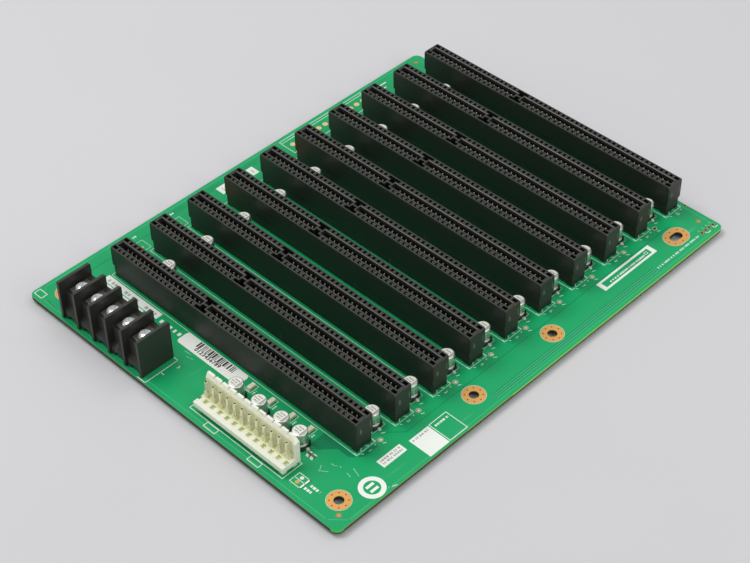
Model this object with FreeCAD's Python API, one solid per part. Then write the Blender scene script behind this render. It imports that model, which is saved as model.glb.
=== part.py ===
"""Passive bus backplane board: a green circuit board with ten card slots and two power inputs.

Millimetres, +Z up. X runs along the card slots, Y runs from the power inputs at the front edge
to the last slot, and Z = 0 is the plane on which the tails under the board rest.
"""
import FreeCAD
import Part
import os

V = FreeCAD.Vector

# ---- Circuit board ----
BOARD_WIDTH = 176.2            # along X
BOARD_LENGTH = 225.6           # along Y
BOARD_THICKNESS = 1.6
BOARD_CORNER_RADIUS = 3.0
TAIL_LENGTH = 1.5              # contact and pin tails below the board

HOLE_DIAMETER = 4.0
HOLE_EDGE_X = 10.4             # hole centre to the long edge
HOLE_FRONT_SETBACK = 11.2      # first row of holes to the front edge
SECOND_HOLE_STEP = 71.4        # from one row of holes to the next
THIRD_HOLE_STEP = 45.5
LAST_HOLE_SETBACK = 18.9       # last row of holes to the back edge
LAST_HOLE_STRETCH = 2.5        # its holes are slotted along Y by this much

# ---- Card slots ----
SLOT_PITCH = 20.32
SLOT_SETBACK = 35.3            # first slot centre to the front edge
REAR_MARGIN = 7.0              # least from the last slot centre to the back edge
SLOT_CENTRE_X = -2.6
HOUSING_LENGTH = 138.8
HOUSING_WIDTH = 8.5
HOUSING_HEIGHT = 15.3          # above the board
STANDOFF = 0.8                 # gap under the housing, held by its feet
FOOT_LENGTH = 3.0
FOOT_WIDTH = 1.6
SKIRT_HEIGHT = 2.2             # the lower band of the walls is drawn in
SKIRT_INSET = 0.2

CONTACT_PITCH = 2.54
SHORT_SECTION = 18             # contact positions before the key
KEY_PITCHES = 4                # pitches from the last contact before the key to the next
END_MARGIN = 4.6               # least housing beyond the outer contact positions

CARD_SLOT_WIDTH = 2.0
CARD_SLOT_END = 3.1            # card slot past its last contact
CARD_SLOT_DEPTH = 10.3
RIDGE_WIDTH = 1.15             # bar between the card slot and a contact row
RIDGE_DEPTH = 2.5
ROW_WIDTH = 1.5                # contact row, across
ROW_END = 0.6                  # contact row past its last contact
RIB = 1.3                      # wall between a contact row and the pocket at the key
KEY_WALL = 0.75                # the two walls that close the card slot at the key
KEY_BAR = 0.8                  # the bar that joins them
KEY_POCKET_DEPTH = 8.0

CONTACT_WIDTH = 0.9
CONTACT_TOP_GAP = 1.0          # contact top under the housing's top
CONTACT_BOW_HEIGHT = 10.6      # height of the point that grips the card
CONTACT_HALF_GAP = 0.6         # card slot centre plane to the gripping point
CONTACT_CLEARANCE = 0.1        # to the housing below the card slot
CONTACT_TAIL = 0.8

# ---- Surface-mount electrolytic capacitors ----
CAN_DIAMETER = 6.2
CAN_HEIGHT = 6.6
CAN_BASE = 6.6
CAN_BASE_HEIGHT = 1.1
CAN_BASE_CHAMFER = 1.3
CAN_FAR_X = 63.1               # from the slot centre line, one can in each gap
CAN_NEAR_X = -51.6
FRONT_CAN_X = (16.5, 29.2, 41.3, 51.2)   # behind the power header, from the slot centre line
FRONT_CAN_Y = -15.1            # from the first slot

# ---- Chip parts ----
CHIP_LENGTH = 3.2
CHIP_WIDTH = 1.7
CHIP_HEIGHT = 1.2
CHIP_X = (17.1, 28.2, 39.2, 48.9)   # from the slot centre line
CHIP_Y = -8.3                  # from the first slot
RESISTOR_LENGTH = 2.0
RESISTOR_WIDTH = 1.2
RESISTOR_HEIGHT = 0.5
RESISTOR_PITCH = 2.2
RESISTOR_X = 58.1
RESISTOR_Y = -16.3

# ---- Power header ----
HEADER_PINS = 12
HEADER_PITCH = 3.96
HEADER_PIN_EDGE = 97.1         # first pin to the board's short side edge, along X
HEADER_PIN_SETBACK = 10.1      # pin row to the front edge
HEADER_LIFT = 2.2              # the base stands on feet
HEADER_FLOOR = 4.6             # top of the base above the board
HEADER_TOP = 14.4              # top of the wall's teeth
HEADER_WALL_TOP = 13.2
HEADER_FRONT = 5.8             # pin row to the front face
HEADER_BACK = 3.3              # pin row to the back face
HEADER_OPEN_END = 1.6          # first pin to the open end
HEADER_CLOSED_END = 3.3        # last pin to the closed end
HEADER_WALL = 1.5
TOOTH_DEPTH = 1.0
TOOTH_GAP = 0.96
LATCH_DEPTH = 0.5              # lip on the wall that a plug snaps under
LATCH_TOP = 12.4
LATCH_HEIGHT = 2.6
HEADER_END_WALL = 0.9
HEADER_END_DEPTH = 2.4         # full height of the end wall, from the back
HEADER_END_SHOULDER = 9.2      # where it starts to slope down to the front
HEADER_END_FRONT = 5.2
HEADER_END_CUT = 2.4           # the wall's corner at the closed end, along X
HEADER_END_DROP = 1.8
HEADER_NOTCH_WIDTH = 1.6       # notch in the base's open end
HEADER_NOTCH_DEPTH = 0.9
HEADER_POCKET = 2.0
HEADER_POCKET_DEPTH = 1.2
HEADER_POCKET_SETBACK = 2.2    # front face to the pockets
BOSS_FOOT = 2.2
BOSS_TOP = 1.5
BOSS_HEIGHT = 2.4
PIN_SIDE = 1.14
PIN_TOP = 12.1
PIN_TIP = 0.35
HEADER_FOOT = 2.0

# ---- Barrier terminal block ----
TERMINALS = 5
TERMINAL_PITCH = 9.525
TERMINAL_EDGE = 20.1           # first barrier to the board's short side edge, along X
TERMINAL_SETBACK = 1.2         # barriers to the front edge
BARRIER = 1.3
BARRIER_DEPTH = 16.0
BARRIER_HEIGHT = 18.8
BARRIER_CHAMFER = 0.5
BLOCK_FRONT_INSET = 2.9        # body behind the barriers' front
BLOCK_HEIGHT = 12.7
BLOCK_LIP_OUT = 2.0            # foot of the body towards the front
BLOCK_LIP_HEIGHT = 4.0
ARCH_RADIUS = 2.4
PLATE_WIDTH = 6.6
PLATE_THICKNESS = 0.9
PLATE_FRONT = 4.0              # screw to the plate's front edge
PLATE_BACK = 4.6
SCREW_SETBACK = 8.1            # screw to the barriers' front
SCREW_SHANK = 3.0
SCREW_LENGTH = 8.0
SCREW_HEAD = 5.6
SCREW_HEAD_HEIGHT = 1.6
SCREW_SLOT = 0.8
SCREW_SLOT_DEPTH = 0.9
SCREW_POCKET = 5.0             # square pocket in the body round the shank
TERMINAL_PIN = 1.0
TERMINAL_PIN_BEHIND = 3.6      # tail behind the screw

# ---- Paper label ----
LABEL_LENGTH = 35.2
LABEL_WIDTH = 6.6
LABEL_THICKNESS = 0.1
LABEL_RADIUS = 1.5
LABEL_CENTRE_X = -5.1          # from the slot centre line
LABEL_CENTRE_Y = -8.3          # from the first slot

# ---- Derived ----
BOARD_BOTTOM = TAIL_LENGTH
TOP = BOARD_BOTTOM + BOARD_THICKNESS
FRONT_EDGE = -BOARD_LENGTH / 2
LEFT_EDGE = -BOARD_WIDTH / 2
FIRST_SLOT_Y = FRONT_EDGE + SLOT_SETBACK
SLOT_COUNT = int((BOARD_LENGTH - SLOT_SETBACK - REAR_MARGIN) / SLOT_PITCH) + 1
CONTACT_STEPS = int((HOUSING_LENGTH - 2 * END_MARGIN) / CONTACT_PITCH)
LONG_SECTION = CONTACT_STEPS + 2 - SHORT_SECTION - KEY_PITCHES
LAST_CONTACT = CONTACT_STEPS * CONTACT_PITCH / 2
ROW_INNER = CARD_SLOT_WIDTH / 2 + RIDGE_WIDTH
ROW_OUTER = ROW_INNER + ROW_WIDTH
SECTIONS = (
    (-LAST_CONTACT, -LAST_CONTACT + (SHORT_SECTION - 1) * CONTACT_PITCH),
    (LAST_CONTACT - (LONG_SECTION - 1) * CONTACT_PITCH, LAST_CONTACT),
)
PIN_ROW_X = LEFT_EDGE + HEADER_PIN_EDGE
PIN_ROW_Y = FRONT_EDGE + HEADER_PIN_SETBACK
BLOCK_X = LEFT_EDGE + TERMINAL_EDGE
BLOCK_LENGTH = TERMINALS * TERMINAL_PITCH + BARRIER
BARRIER_FRONT = FRONT_EDGE + TERMINAL_SETBACK
SCREW_Y = BARRIER_FRONT + SCREW_SETBACK
TAIL_Y = SCREW_Y + TERMINAL_PIN_BEHIND


def block(x0, x1, y0, y1, z0, z1):
    """A box between two corners."""
    return Part.makeBox(x1 - x0, y1 - y0, z1 - z0, V(x0, y0, z0))


def post(diameter, x, y, z0, z1):
    """An upright cylinder."""
    return Part.makeCylinder(diameter / 2, z1 - z0, V(x, y, z0))


def square_post(side, x, y, z0, z1):
    """An upright post of square section."""
    half = side / 2
    return block(x - half, x + half, y - half, y + half, z0, z1)


def extrude_along_x(outline, x0, x1):
    """A straight body along X from an outline of (y, z) points."""
    wire = Part.makePolygon([V(x0, y, z) for y, z in outline + outline[:1]])
    return Part.Face(wire).extrude(V(x1 - x0, 0, 0))


def fuse_all(shapes):
    """One solid from pieces that touch."""
    return shapes[0].multiFuse(shapes[1:]).removeSplitter()


def stadium(diameter, stretch, x, y, z0, z1):
    """A post stretched along Y."""
    if stretch <= 0:
        return post(diameter, x, y, z0, z1)
    ends = [post(diameter, x, y + s * stretch / 2, z0, z1) for s in (-1, 1)]
    middle = block(x - diameter / 2, x + diameter / 2, y - stretch / 2, y + stretch / 2, z0, z1)
    return fuse_all(ends + [middle])


def slot_centre_y(index):
    return FIRST_SLOT_Y + index * SLOT_PITCH


def header_pin_places():
    return [PIN_ROW_X + k * HEADER_PITCH for k in range(HEADER_PINS)]


def terminal_places():
    return [BLOCK_X + BARRIER / 2 + (k + 0.5) * TERMINAL_PITCH for k in range(TERMINALS)]


def hole_rows():
    """Y of each row of mounting holes, and how far its holes are stretched."""
    first = FRONT_EDGE + HOLE_FRONT_SETBACK
    second = first + SECOND_HOLE_STEP
    last = -FRONT_EDGE - LAST_HOLE_SETBACK
    return [(first, 0), (second, 0), (second + THIRD_HOLE_STEP, 0), (last, LAST_HOLE_STRETCH)]


def gap_can_places():
    """Two cans in each gap between neighbouring slots."""
    rows = [slot_centre_y(k) + SLOT_PITCH / 2 for k in range(SLOT_COUNT - 1)]
    return [(SLOT_CENTRE_X + x, y) for y in rows for x in (CAN_NEAR_X, CAN_FAR_X)]


def front_can_places():
    return [(SLOT_CENTRE_X + x, FIRST_SLOT_Y + FRONT_CAN_Y) for x in FRONT_CAN_X]


def make_board():
    board = block(LEFT_EDGE, -LEFT_EDGE, FRONT_EDGE, -FRONT_EDGE, BOARD_BOTTOM, TOP)
    corners = [e for e in board.Edges if abs(e.Vertexes[0].Z - e.Vertexes[-1].Z) > BOARD_THICKNESS / 2]
    board = board.makeFillet(BOARD_CORNER_RADIUS, corners)
    drills = []
    for y, stretch in hole_rows():
        for side in (-1, 1):
            x = side * (BOARD_WIDTH / 2 - HOLE_EDGE_X)
            drills.append(stadium(HOLE_DIAMETER, stretch, x, y, BOARD_BOTTOM, TOP))
    for x in header_pin_places():
        drills.append(square_post(PIN_SIDE, x, PIN_ROW_Y, BOARD_BOTTOM, TOP))
    for x in terminal_places():
        drills.append(square_post(TERMINAL_PIN, x, TAIL_Y, BOARD_BOTTOM, TOP))
    return board.cut(drills)


def contact_row_cut(side, x0, x1, z0, z1):
    """A cut along one contact row."""
    y0, y1 = sorted((side * ROW_INNER, side * ROW_OUTER))
    return block(x0, x1, y0, y1, z0, z1)


def section_cuts(first, last, bottom, top):
    """Card slot, contact rows and the wider cavity under the ridges of one section."""
    floor = top - CARD_SLOT_DEPTH
    ridge = top - RIDGE_DEPTH
    half = CARD_SLOT_WIDTH / 2
    cuts = [block(first - CARD_SLOT_END, last + CARD_SLOT_END, -half, half, floor, top)]
    cuts.append(block(first - ROW_END, last + ROW_END, -ROW_OUTER, ROW_OUTER, floor, ridge))
    for side in (-1, 1):
        cuts.append(contact_row_cut(side, first - ROW_END, last + ROW_END, bottom, top))
    return cuts


def key_cuts(top):
    """The two T-shaped pockets that leave the key's walls and bar standing."""
    left = SECTIONS[0][1] + ROW_END + RIB
    right = SECTIONS[1][0] - ROW_END - RIB
    stem_left = SECTIONS[0][1] + CARD_SLOT_END + KEY_WALL
    stem_right = SECTIONS[1][0] - CARD_SLOT_END - KEY_WALL
    depth = top - KEY_POCKET_DEPTH
    cuts = []
    for side in (-1, 1):
        y0, y1 = sorted((side * KEY_BAR / 2, side * ROW_INNER))
        stem = block(stem_left, stem_right, y0, y1, depth, top)
        cuts.append(contact_row_cut(side, left, right, depth, top).fuse(stem))
    return cuts


def make_housing(index):
    """One moulded slot housing, standing on four feet."""
    bottom = TOP + STANDOFF
    waist = TOP + SKIRT_HEIGHT
    top = TOP + HOUSING_HEIGHT
    half_length = HOUSING_LENGTH / 2
    half_width = HOUSING_WIDTH / 2
    skirt = half_width - SKIRT_INSET
    body = block(-half_length, half_length, -half_width, half_width, waist, top)
    band = block(-half_length, half_length, -skirt, skirt, bottom, waist)
    feet = []
    for end in (-1, 1):
        x0, x1 = sorted((end * (half_length - FOOT_LENGTH), end * half_length))
        for side in (-1, 1):
            y0, y1 = sorted((side * (skirt - FOOT_WIDTH), side * skirt))
            feet.append(block(x0, x1, y0, y1, TOP, bottom))
    housing = fuse_all([body, band] + feet)
    cuts = key_cuts(top)
    for first, last in SECTIONS:
        cuts += section_cuts(first, last, bottom, top)
    housing = housing.cut(cuts)
    housing.translate(V(SLOT_CENTRE_X, slot_centre_y(index), 0))
    return housing


def make_contacts(index):
    """The sprung contacts of one slot: each row of a section is one bar that leans into the card slot."""
    outline = [
        (ROW_OUTER, TOP),
        (ROW_OUTER, TOP + HOUSING_HEIGHT - CONTACT_TOP_GAP),
        (CONTACT_HALF_GAP, TOP + CONTACT_BOW_HEIGHT),
        (ROW_INNER + CONTACT_CLEARANCE, TOP + HOUSING_HEIGHT - CARD_SLOT_DEPTH),
    ]
    mirrored = [(-y, z) for y, z in outline]
    half = CONTACT_WIDTH / 2
    rows = []
    for first, last in SECTIONS:
        for side in (outline, mirrored):
            rows.append(extrude_along_x(side, first - half, last + half))
    contacts = Part.makeCompound(rows)
    contacts.translate(V(SLOT_CENTRE_X, slot_centre_y(index), 0))
    return contacts


def make_slot_tails():
    """Tails of two corner contacts of each slot, under the board: the points that it rests on."""
    tails = []
    for index in range(SLOT_COUNT):
        for end in (-1, 1):
            x = SLOT_CENTRE_X + end * LAST_CONTACT
            y = slot_centre_y(index) + end * (ROW_INNER + ROW_OUTER) / 2
            tails.append(square_post(CONTACT_TAIL, x, y, 0, BOARD_BOTTOM))
    return Part.makeCompound(tails)


def make_can_bases(places):
    """Square plastic bases with two corners cut off on the positive side."""
    half = CAN_BASE / 2
    cut = half - CAN_BASE_CHAMFER
    bases = []
    for x, y in places:
        points = [(-half, -half), (cut, -half), (half, -cut), (half, cut), (cut, half), (-half, half)]
        wire = Part.makePolygon([V(x + a, y + b, TOP) for a, b in points + points[:1]])
        bases.append(Part.Face(wire).extrude(V(0, 0, CAN_BASE_HEIGHT)))
    return Part.makeCompound(bases)


def make_cans(places):
    z0 = TOP + CAN_BASE_HEIGHT
    return Part.makeCompound([post(CAN_DIAMETER, x, y, z0, z0 + CAN_HEIGHT) for x, y in places])


def make_chip_capacitors():
    hx = CHIP_WIDTH / 2
    hy = CHIP_LENGTH / 2
    cy = FIRST_SLOT_Y + CHIP_Y
    places = [SLOT_CENTRE_X + x for x in CHIP_X]
    return Part.makeCompound([block(x - hx, x + hx, cy - hy, cy + hy, TOP, TOP + CHIP_HEIGHT) for x in places])


def make_chip_resistors():
    chips = []
    for side in (-1, 1):
        cx = SLOT_CENTRE_X + RESISTOR_X + side * RESISTOR_PITCH / 2
        cy = FIRST_SLOT_Y + RESISTOR_Y
        hx = RESISTOR_WIDTH / 2
        hy = RESISTOR_LENGTH / 2
        chips.append(block(cx - hx, cx + hx, cy - hy, cy + hy, TOP, TOP + RESISTOR_HEIGHT))
    return Part.makeCompound(chips)


def header_ends():
    x0 = PIN_ROW_X - HEADER_OPEN_END
    x1 = PIN_ROW_X + (HEADER_PINS - 1) * HEADER_PITCH + HEADER_CLOSED_END
    return x0, x1


def header_wall(x0, x1):
    """The tall back wall: teeth on top and a snap lip on its inner face."""
    y1 = PIN_ROW_Y + HEADER_BACK
    y0 = y1 - HEADER_WALL
    base = TOP + HEADER_LIFT
    tooth_top = TOP + HEADER_TOP
    lip = y0 - LATCH_DEPTH
    lip_top = TOP + LATCH_TOP
    lip_bottom = lip_top - LATCH_HEIGHT
    outline = [(y1, base), (y1, tooth_top), (y1 - TOOTH_DEPTH, tooth_top), (lip, lip_top),
               (lip, lip_bottom), (y0, lip_bottom - LATCH_DEPTH), (y0, base)]
    wall = extrude_along_x(outline, x0, x1)
    cuts = []
    for k in range(HEADER_PINS - 1):
        gap = x0 + (k + 1) * HEADER_PITCH - TOOTH_GAP / 2
        cuts.append(block(gap, gap + TOOTH_GAP, lip, y1, TOP + HEADER_WALL_TOP, tooth_top))
    corner = Part.makePolygon([V(x1, lip, tooth_top - HEADER_END_DROP), V(x1, lip, tooth_top),
                               V(x1 - HEADER_END_CUT, lip, tooth_top), V(x1, lip, tooth_top - HEADER_END_DROP)])
    cuts.append(Part.Face(corner).extrude(V(0, y1 - lip, 0)))
    return wall.cut(cuts)


def header_end_wall(x1):
    """The wall that closes one end: full height at the back, then sloping down to the front."""
    y0 = PIN_ROW_Y - HEADER_FRONT
    y1 = PIN_ROW_Y + HEADER_BACK
    outline = [(y0, TOP + HEADER_LIFT), (y1, TOP + HEADER_LIFT), (y1, TOP + HEADER_TOP - HEADER_END_DROP),
               (y1 - HEADER_END_DEPTH, TOP + HEADER_TOP - HEADER_END_DROP),
               (y1 - HEADER_END_DEPTH, TOP + HEADER_END_SHOULDER), (y0, TOP + HEADER_END_FRONT)]
    return extrude_along_x(outline, x1 - HEADER_END_WALL, x1)


def header_boss(x):
    """The tapered boss round one pin."""
    foot = BOSS_FOOT / 2
    tip = BOSS_TOP / 2
    boss = Part.makeWedge(-foot, 0, -foot, -tip, -tip, foot, BOSS_HEIGHT, foot, tip, tip)
    boss.rotate(V(0, 0, 0), V(1, 0, 0), 90)
    boss.translate(V(x, PIN_ROW_Y, TOP + HEADER_FLOOR))
    return boss


def header_base(x0, x1):
    """The base with a pocket beyond each pin and a notch in its open end."""
    y0 = PIN_ROW_Y - HEADER_FRONT
    floor = TOP + HEADER_FLOOR
    base = block(x0, x1, y0, PIN_ROW_Y + HEADER_BACK, TOP + HEADER_LIFT, floor)
    pocket_y = y0 + HEADER_POCKET_SETBACK
    half = HEADER_POCKET / 2
    cuts = []
    for pin in header_pin_places():
        x = pin + HEADER_PITCH / 2
        cuts.append(block(x - half, x + half, pocket_y, pocket_y + HEADER_POCKET, floor - HEADER_POCKET_DEPTH, floor))
    notch_y = pocket_y + half - HEADER_NOTCH_WIDTH / 2
    notch_end = x0 + HEADER_NOTCH_DEPTH
    cuts.append(block(x0, notch_end, notch_y, notch_y + HEADER_NOTCH_WIDTH, TOP + HEADER_LIFT, floor))
    return base.cut(cuts)


def make_header_body():
    """Ivory header: base, bosses round the pins, a toothed wall and one closed end."""
    x0, x1 = header_ends()
    y0 = PIN_ROW_Y - HEADER_FRONT
    y1 = PIN_ROW_Y + HEADER_BACK
    z0 = TOP + HEADER_LIFT
    pieces = [header_base(x0, x1), header_wall(x0, x1), header_end_wall(x1)]
    foot = HEADER_FOOT / 2
    for end in (x0 + HEADER_FOOT, x1 - HEADER_FOOT):
        for y in (y0 + HEADER_FOOT, y1 - HEADER_FOOT):
            pieces.append(block(end - foot, end + foot, y - foot, y + foot, TOP, z0))
    pieces += [header_boss(x) for x in header_pin_places()]
    body = fuse_all(pieces)
    return body.cut([square_post(PIN_SIDE, x, PIN_ROW_Y, TOP, TOP + HEADER_TOP) for x in header_pin_places()])


def header_pin(x):
    """One square pin with a blunt point at its top."""
    half = PIN_SIDE / 2
    shaft = square_post(PIN_SIDE, x, PIN_ROW_Y, 0, TOP + PIN_TOP - PIN_TIP)
    tip = half - PIN_TIP
    point = Part.makeWedge(-half, 0, -half, -tip, -tip, half, PIN_TIP, half, tip, tip)
    point.rotate(V(0, 0, 0), V(1, 0, 0), 90)
    point.translate(V(x, PIN_ROW_Y, TOP + PIN_TOP - PIN_TIP))
    return fuse_all([shaft, point])


def make_header_pins():
    return Part.makeCompound([header_pin(x) for x in header_pin_places()])


def barrier(x0):
    """One upright barrier with its front and back top corners taken off."""
    y0 = BARRIER_FRONT
    y1 = y0 + BARRIER_DEPTH
    z1 = TOP + BARRIER_HEIGHT
    cut = BARRIER_CHAMFER
    outline = [(y0, TOP), (y1, TOP), (y1, z1 - cut), (y1 - cut, z1), (y0 + cut, z1), (y0, z1 - cut)]
    return extrude_along_x(outline, x0, x0 + BARRIER)


def make_terminal_body():
    """Black barrier block: six barriers, a stepped body, arches at the front and screw holes."""
    y0 = BARRIER_FRONT + BLOCK_FRONT_INSET
    y1 = BARRIER_FRONT + BARRIER_DEPTH
    lip = y0 - BLOCK_LIP_OUT
    z1 = TOP + BLOCK_HEIGHT
    outline = [(lip, TOP), (y1, TOP), (y1, z1), (y0, z1), (y0, TOP + BLOCK_LIP_HEIGHT + BLOCK_LIP_OUT),
               (lip, TOP + BLOCK_LIP_HEIGHT)]
    pieces = [extrude_along_x(outline, BLOCK_X, BLOCK_X + BLOCK_LENGTH)]
    pieces += [barrier(BLOCK_X + k * TERMINAL_PITCH) for k in range(TERMINALS + 1)]
    body = fuse_all(pieces)
    cuts = []
    for x in terminal_places():
        cuts.append(Part.makeCylinder(ARCH_RADIUS, BLOCK_LIP_OUT, V(x, lip, TOP), V(0, 1, 0)))
        cuts.append(square_post(SCREW_POCKET, x, SCREW_Y, z1 - SCREW_LENGTH, z1))
        cuts.append(square_post(TERMINAL_PIN, x, TAIL_Y, TOP, z1))
    return body.cut(cuts)


def terminal_plate(x):
    """One plate under a screw, with its tail through the board."""
    half = PLATE_WIDTH / 2
    z0 = TOP + BLOCK_HEIGHT
    z1 = z0 + PLATE_THICKNESS
    plate = block(x - half, x + half, SCREW_Y - PLATE_FRONT, SCREW_Y + PLATE_BACK, z0, z1)
    tail = square_post(TERMINAL_PIN, x, TAIL_Y, 0, z0)
    return plate.fuse(tail).cut(post(SCREW_SHANK, x, SCREW_Y, z0, z1))


def make_terminal_plates():
    return Part.makeCompound([terminal_plate(x) for x in terminal_places()])


def terminal_screw(x):
    """One pan-head screw with a driver slot."""
    seat = TOP + BLOCK_HEIGHT + PLATE_THICKNESS
    head_top = seat + SCREW_HEAD_HEIGHT
    head = post(SCREW_HEAD, x, SCREW_Y, seat, head_top)
    shank = post(SCREW_SHANK, x, SCREW_Y, seat - SCREW_LENGTH, seat)
    half = SCREW_SLOT / 2
    slot = block(x - SCREW_HEAD, x + SCREW_HEAD, SCREW_Y - half, SCREW_Y + half, head_top - SCREW_SLOT_DEPTH, head_top)
    return fuse_all([head, shank]).cut(slot)


def make_terminal_screws():
    return Part.makeCompound([terminal_screw(x) for x in terminal_places()])


def make_label():
    """Paper label stuck on the board beside the first slot."""
    x = SLOT_CENTRE_X + LABEL_CENTRE_X
    y = FIRST_SLOT_Y + LABEL_CENTRE_Y
    hx = LABEL_LENGTH / 2
    hy = LABEL_WIDTH / 2
    label = block(x - hx, x + hx, y - hy, y + hy, TOP, TOP + LABEL_THICKNESS)
    corners = [e for e in label.Edges if e.BoundBox.XLength < 0.001 and e.BoundBox.YLength < 0.001]
    return label.makeFillet(LABEL_RADIUS, corners)


def save(name, shape):
    shape.exportStep(os.path.join("parts", name + ".step"))


def main():
    os.makedirs("parts", exist_ok=True)
    save("board", make_board())
    for index in range(SLOT_COUNT):
        save("slot_%02d_housing" % (index + 1), make_housing(index))
        save("slot_%02d_contacts" % (index + 1), make_contacts(index))
    save("slot_corner_tails", make_slot_tails())
    save("capacitor_cans", make_cans(gap_can_places() + front_can_places()))
    save("capacitor_bases", make_can_bases(gap_can_places() + front_can_places()))
    save("chip_capacitors", make_chip_capacitors())
    save("chip_resistors", make_chip_resistors())
    save("power_header_body", make_header_body())
    save("power_header_pins", make_header_pins())
    save("terminal_block_body", make_terminal_body())
    save("terminal_plates", make_terminal_plates())
    save("terminal_screws", make_terminal_screws())
    save("paper_label", make_label())


main()
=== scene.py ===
"""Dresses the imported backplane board: slot, capacitor and terminal detail, printed legends, finishes,
a pale floor, soft lamps and the camera."""
import logging
import math
import random
from dataclasses import dataclass, field
from enum import Enum
from typing import Callable, Iterable, Mapping, Sequence

import bmesh
import bpy
from bmesh.types import BMEdge, BMVert, BMesh
from bpy.types import ID, Material, Mesh, Node, NodeInputs, NodeOutputs, NodeSocket, NodeTree, Object
from mathutils import Matrix, Vector


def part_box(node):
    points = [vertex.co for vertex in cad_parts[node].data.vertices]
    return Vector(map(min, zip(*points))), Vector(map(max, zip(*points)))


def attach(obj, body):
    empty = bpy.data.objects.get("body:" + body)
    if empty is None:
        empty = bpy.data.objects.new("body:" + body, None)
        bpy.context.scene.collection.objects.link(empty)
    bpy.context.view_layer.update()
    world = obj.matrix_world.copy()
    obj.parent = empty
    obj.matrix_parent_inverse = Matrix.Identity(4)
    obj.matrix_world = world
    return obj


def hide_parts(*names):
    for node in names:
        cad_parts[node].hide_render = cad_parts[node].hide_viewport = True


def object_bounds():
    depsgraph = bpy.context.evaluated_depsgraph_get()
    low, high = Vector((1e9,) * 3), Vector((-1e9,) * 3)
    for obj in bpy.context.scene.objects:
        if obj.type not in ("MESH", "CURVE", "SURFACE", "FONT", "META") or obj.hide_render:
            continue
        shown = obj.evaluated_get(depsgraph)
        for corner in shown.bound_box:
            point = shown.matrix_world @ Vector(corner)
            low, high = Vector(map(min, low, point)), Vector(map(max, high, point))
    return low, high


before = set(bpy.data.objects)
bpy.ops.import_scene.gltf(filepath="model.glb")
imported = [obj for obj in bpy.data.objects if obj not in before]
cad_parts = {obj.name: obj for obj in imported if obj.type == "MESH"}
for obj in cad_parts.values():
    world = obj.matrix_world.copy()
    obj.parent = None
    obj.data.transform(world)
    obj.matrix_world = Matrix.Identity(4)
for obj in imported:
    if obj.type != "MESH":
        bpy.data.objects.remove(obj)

ROOT = "root"
CAD_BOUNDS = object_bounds()
LOG = logging.getLogger("backplane")
MM = 0.001  # metres
SAME = 0.01  # millimetres within which two places count as one
JOIN_DISTANCE = 1e-6  # metres within which two vertices become one
SMOOTH_ANGLE = 40.0  # degrees below which an edge is shaded smooth
Point2 = tuple[float, float]
Point3 = tuple[float, float, float]
Area = tuple[float, float, float, float]
Colour = tuple[float, float, float]


class Slot(Enum):
    """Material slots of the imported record."""
    MASK = "solder_mask"
    PLASTIC = "slot_plastic"
    CONTACT = "contact_gold"
    TINNED = "tinned_metal"
    CAN = "can_aluminium"
    BASE = "base_plastic"
    HEADER = "header_ivory"
    NICKEL = "terminal_nickel"
    PAPER = "label_paper"


class Side(Enum):
    """The two sides of a slot's centre line."""
    FRONT = -1
    BACK = 1


class Skin(Enum):
    """Finishes of a slot's housing, by their place in its list."""
    OUTER = 0
    HOLLOW = 1
    RIM = 2


class Plate(Enum):
    """Finishes of the board, by their place in its list."""
    MASK = 0
    CUT = 1
    PLATED = 2


# ---------------------------------------------------------------- places

def box_mm(node: str) -> tuple[Vector, Vector]:
    """Returns the lowest and the highest corner of a CAD node, in millimetres."""
    low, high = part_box(node)
    return Vector(low) / MM, Vector(high) / MM


def middle(low: Vector, high: Vector) -> Vector:
    """Returns the point halfway between two corners."""
    return (low + high) / 2


@dataclass(frozen=True)
class Layout:
    """Places that several sub-assemblies share, in millimetres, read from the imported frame."""
    slot_count: int
    datum: Vector
    top: float
    bottom: float
    pitch: float
    low: Vector
    high: Vector

    @staticmethod
    def read() -> "Layout":
        """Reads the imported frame.

        Returns:
            The layout, in millimetres.
        """
        low, high = box_mm("board")
        first = box_mm("slot_01_housing")
        centre = middle(*first)
        return Layout(
            slot_count=sum(1 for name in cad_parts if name.endswith("_housing")),
            datum=Vector((centre.x, centre.y, high.z)),
            top=high.z,
            bottom=low.z,
            pitch=box_mm("slot_02_housing")[0].y - first[0].y,
            low=low,
            high=high,
        )

    def slot_y(self, index: int) -> float:
        """Centre of a slot from the first slot's centre, along Y."""
        return index * self.pitch


# ---------------------------------------------------------------- mesh tools

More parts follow.
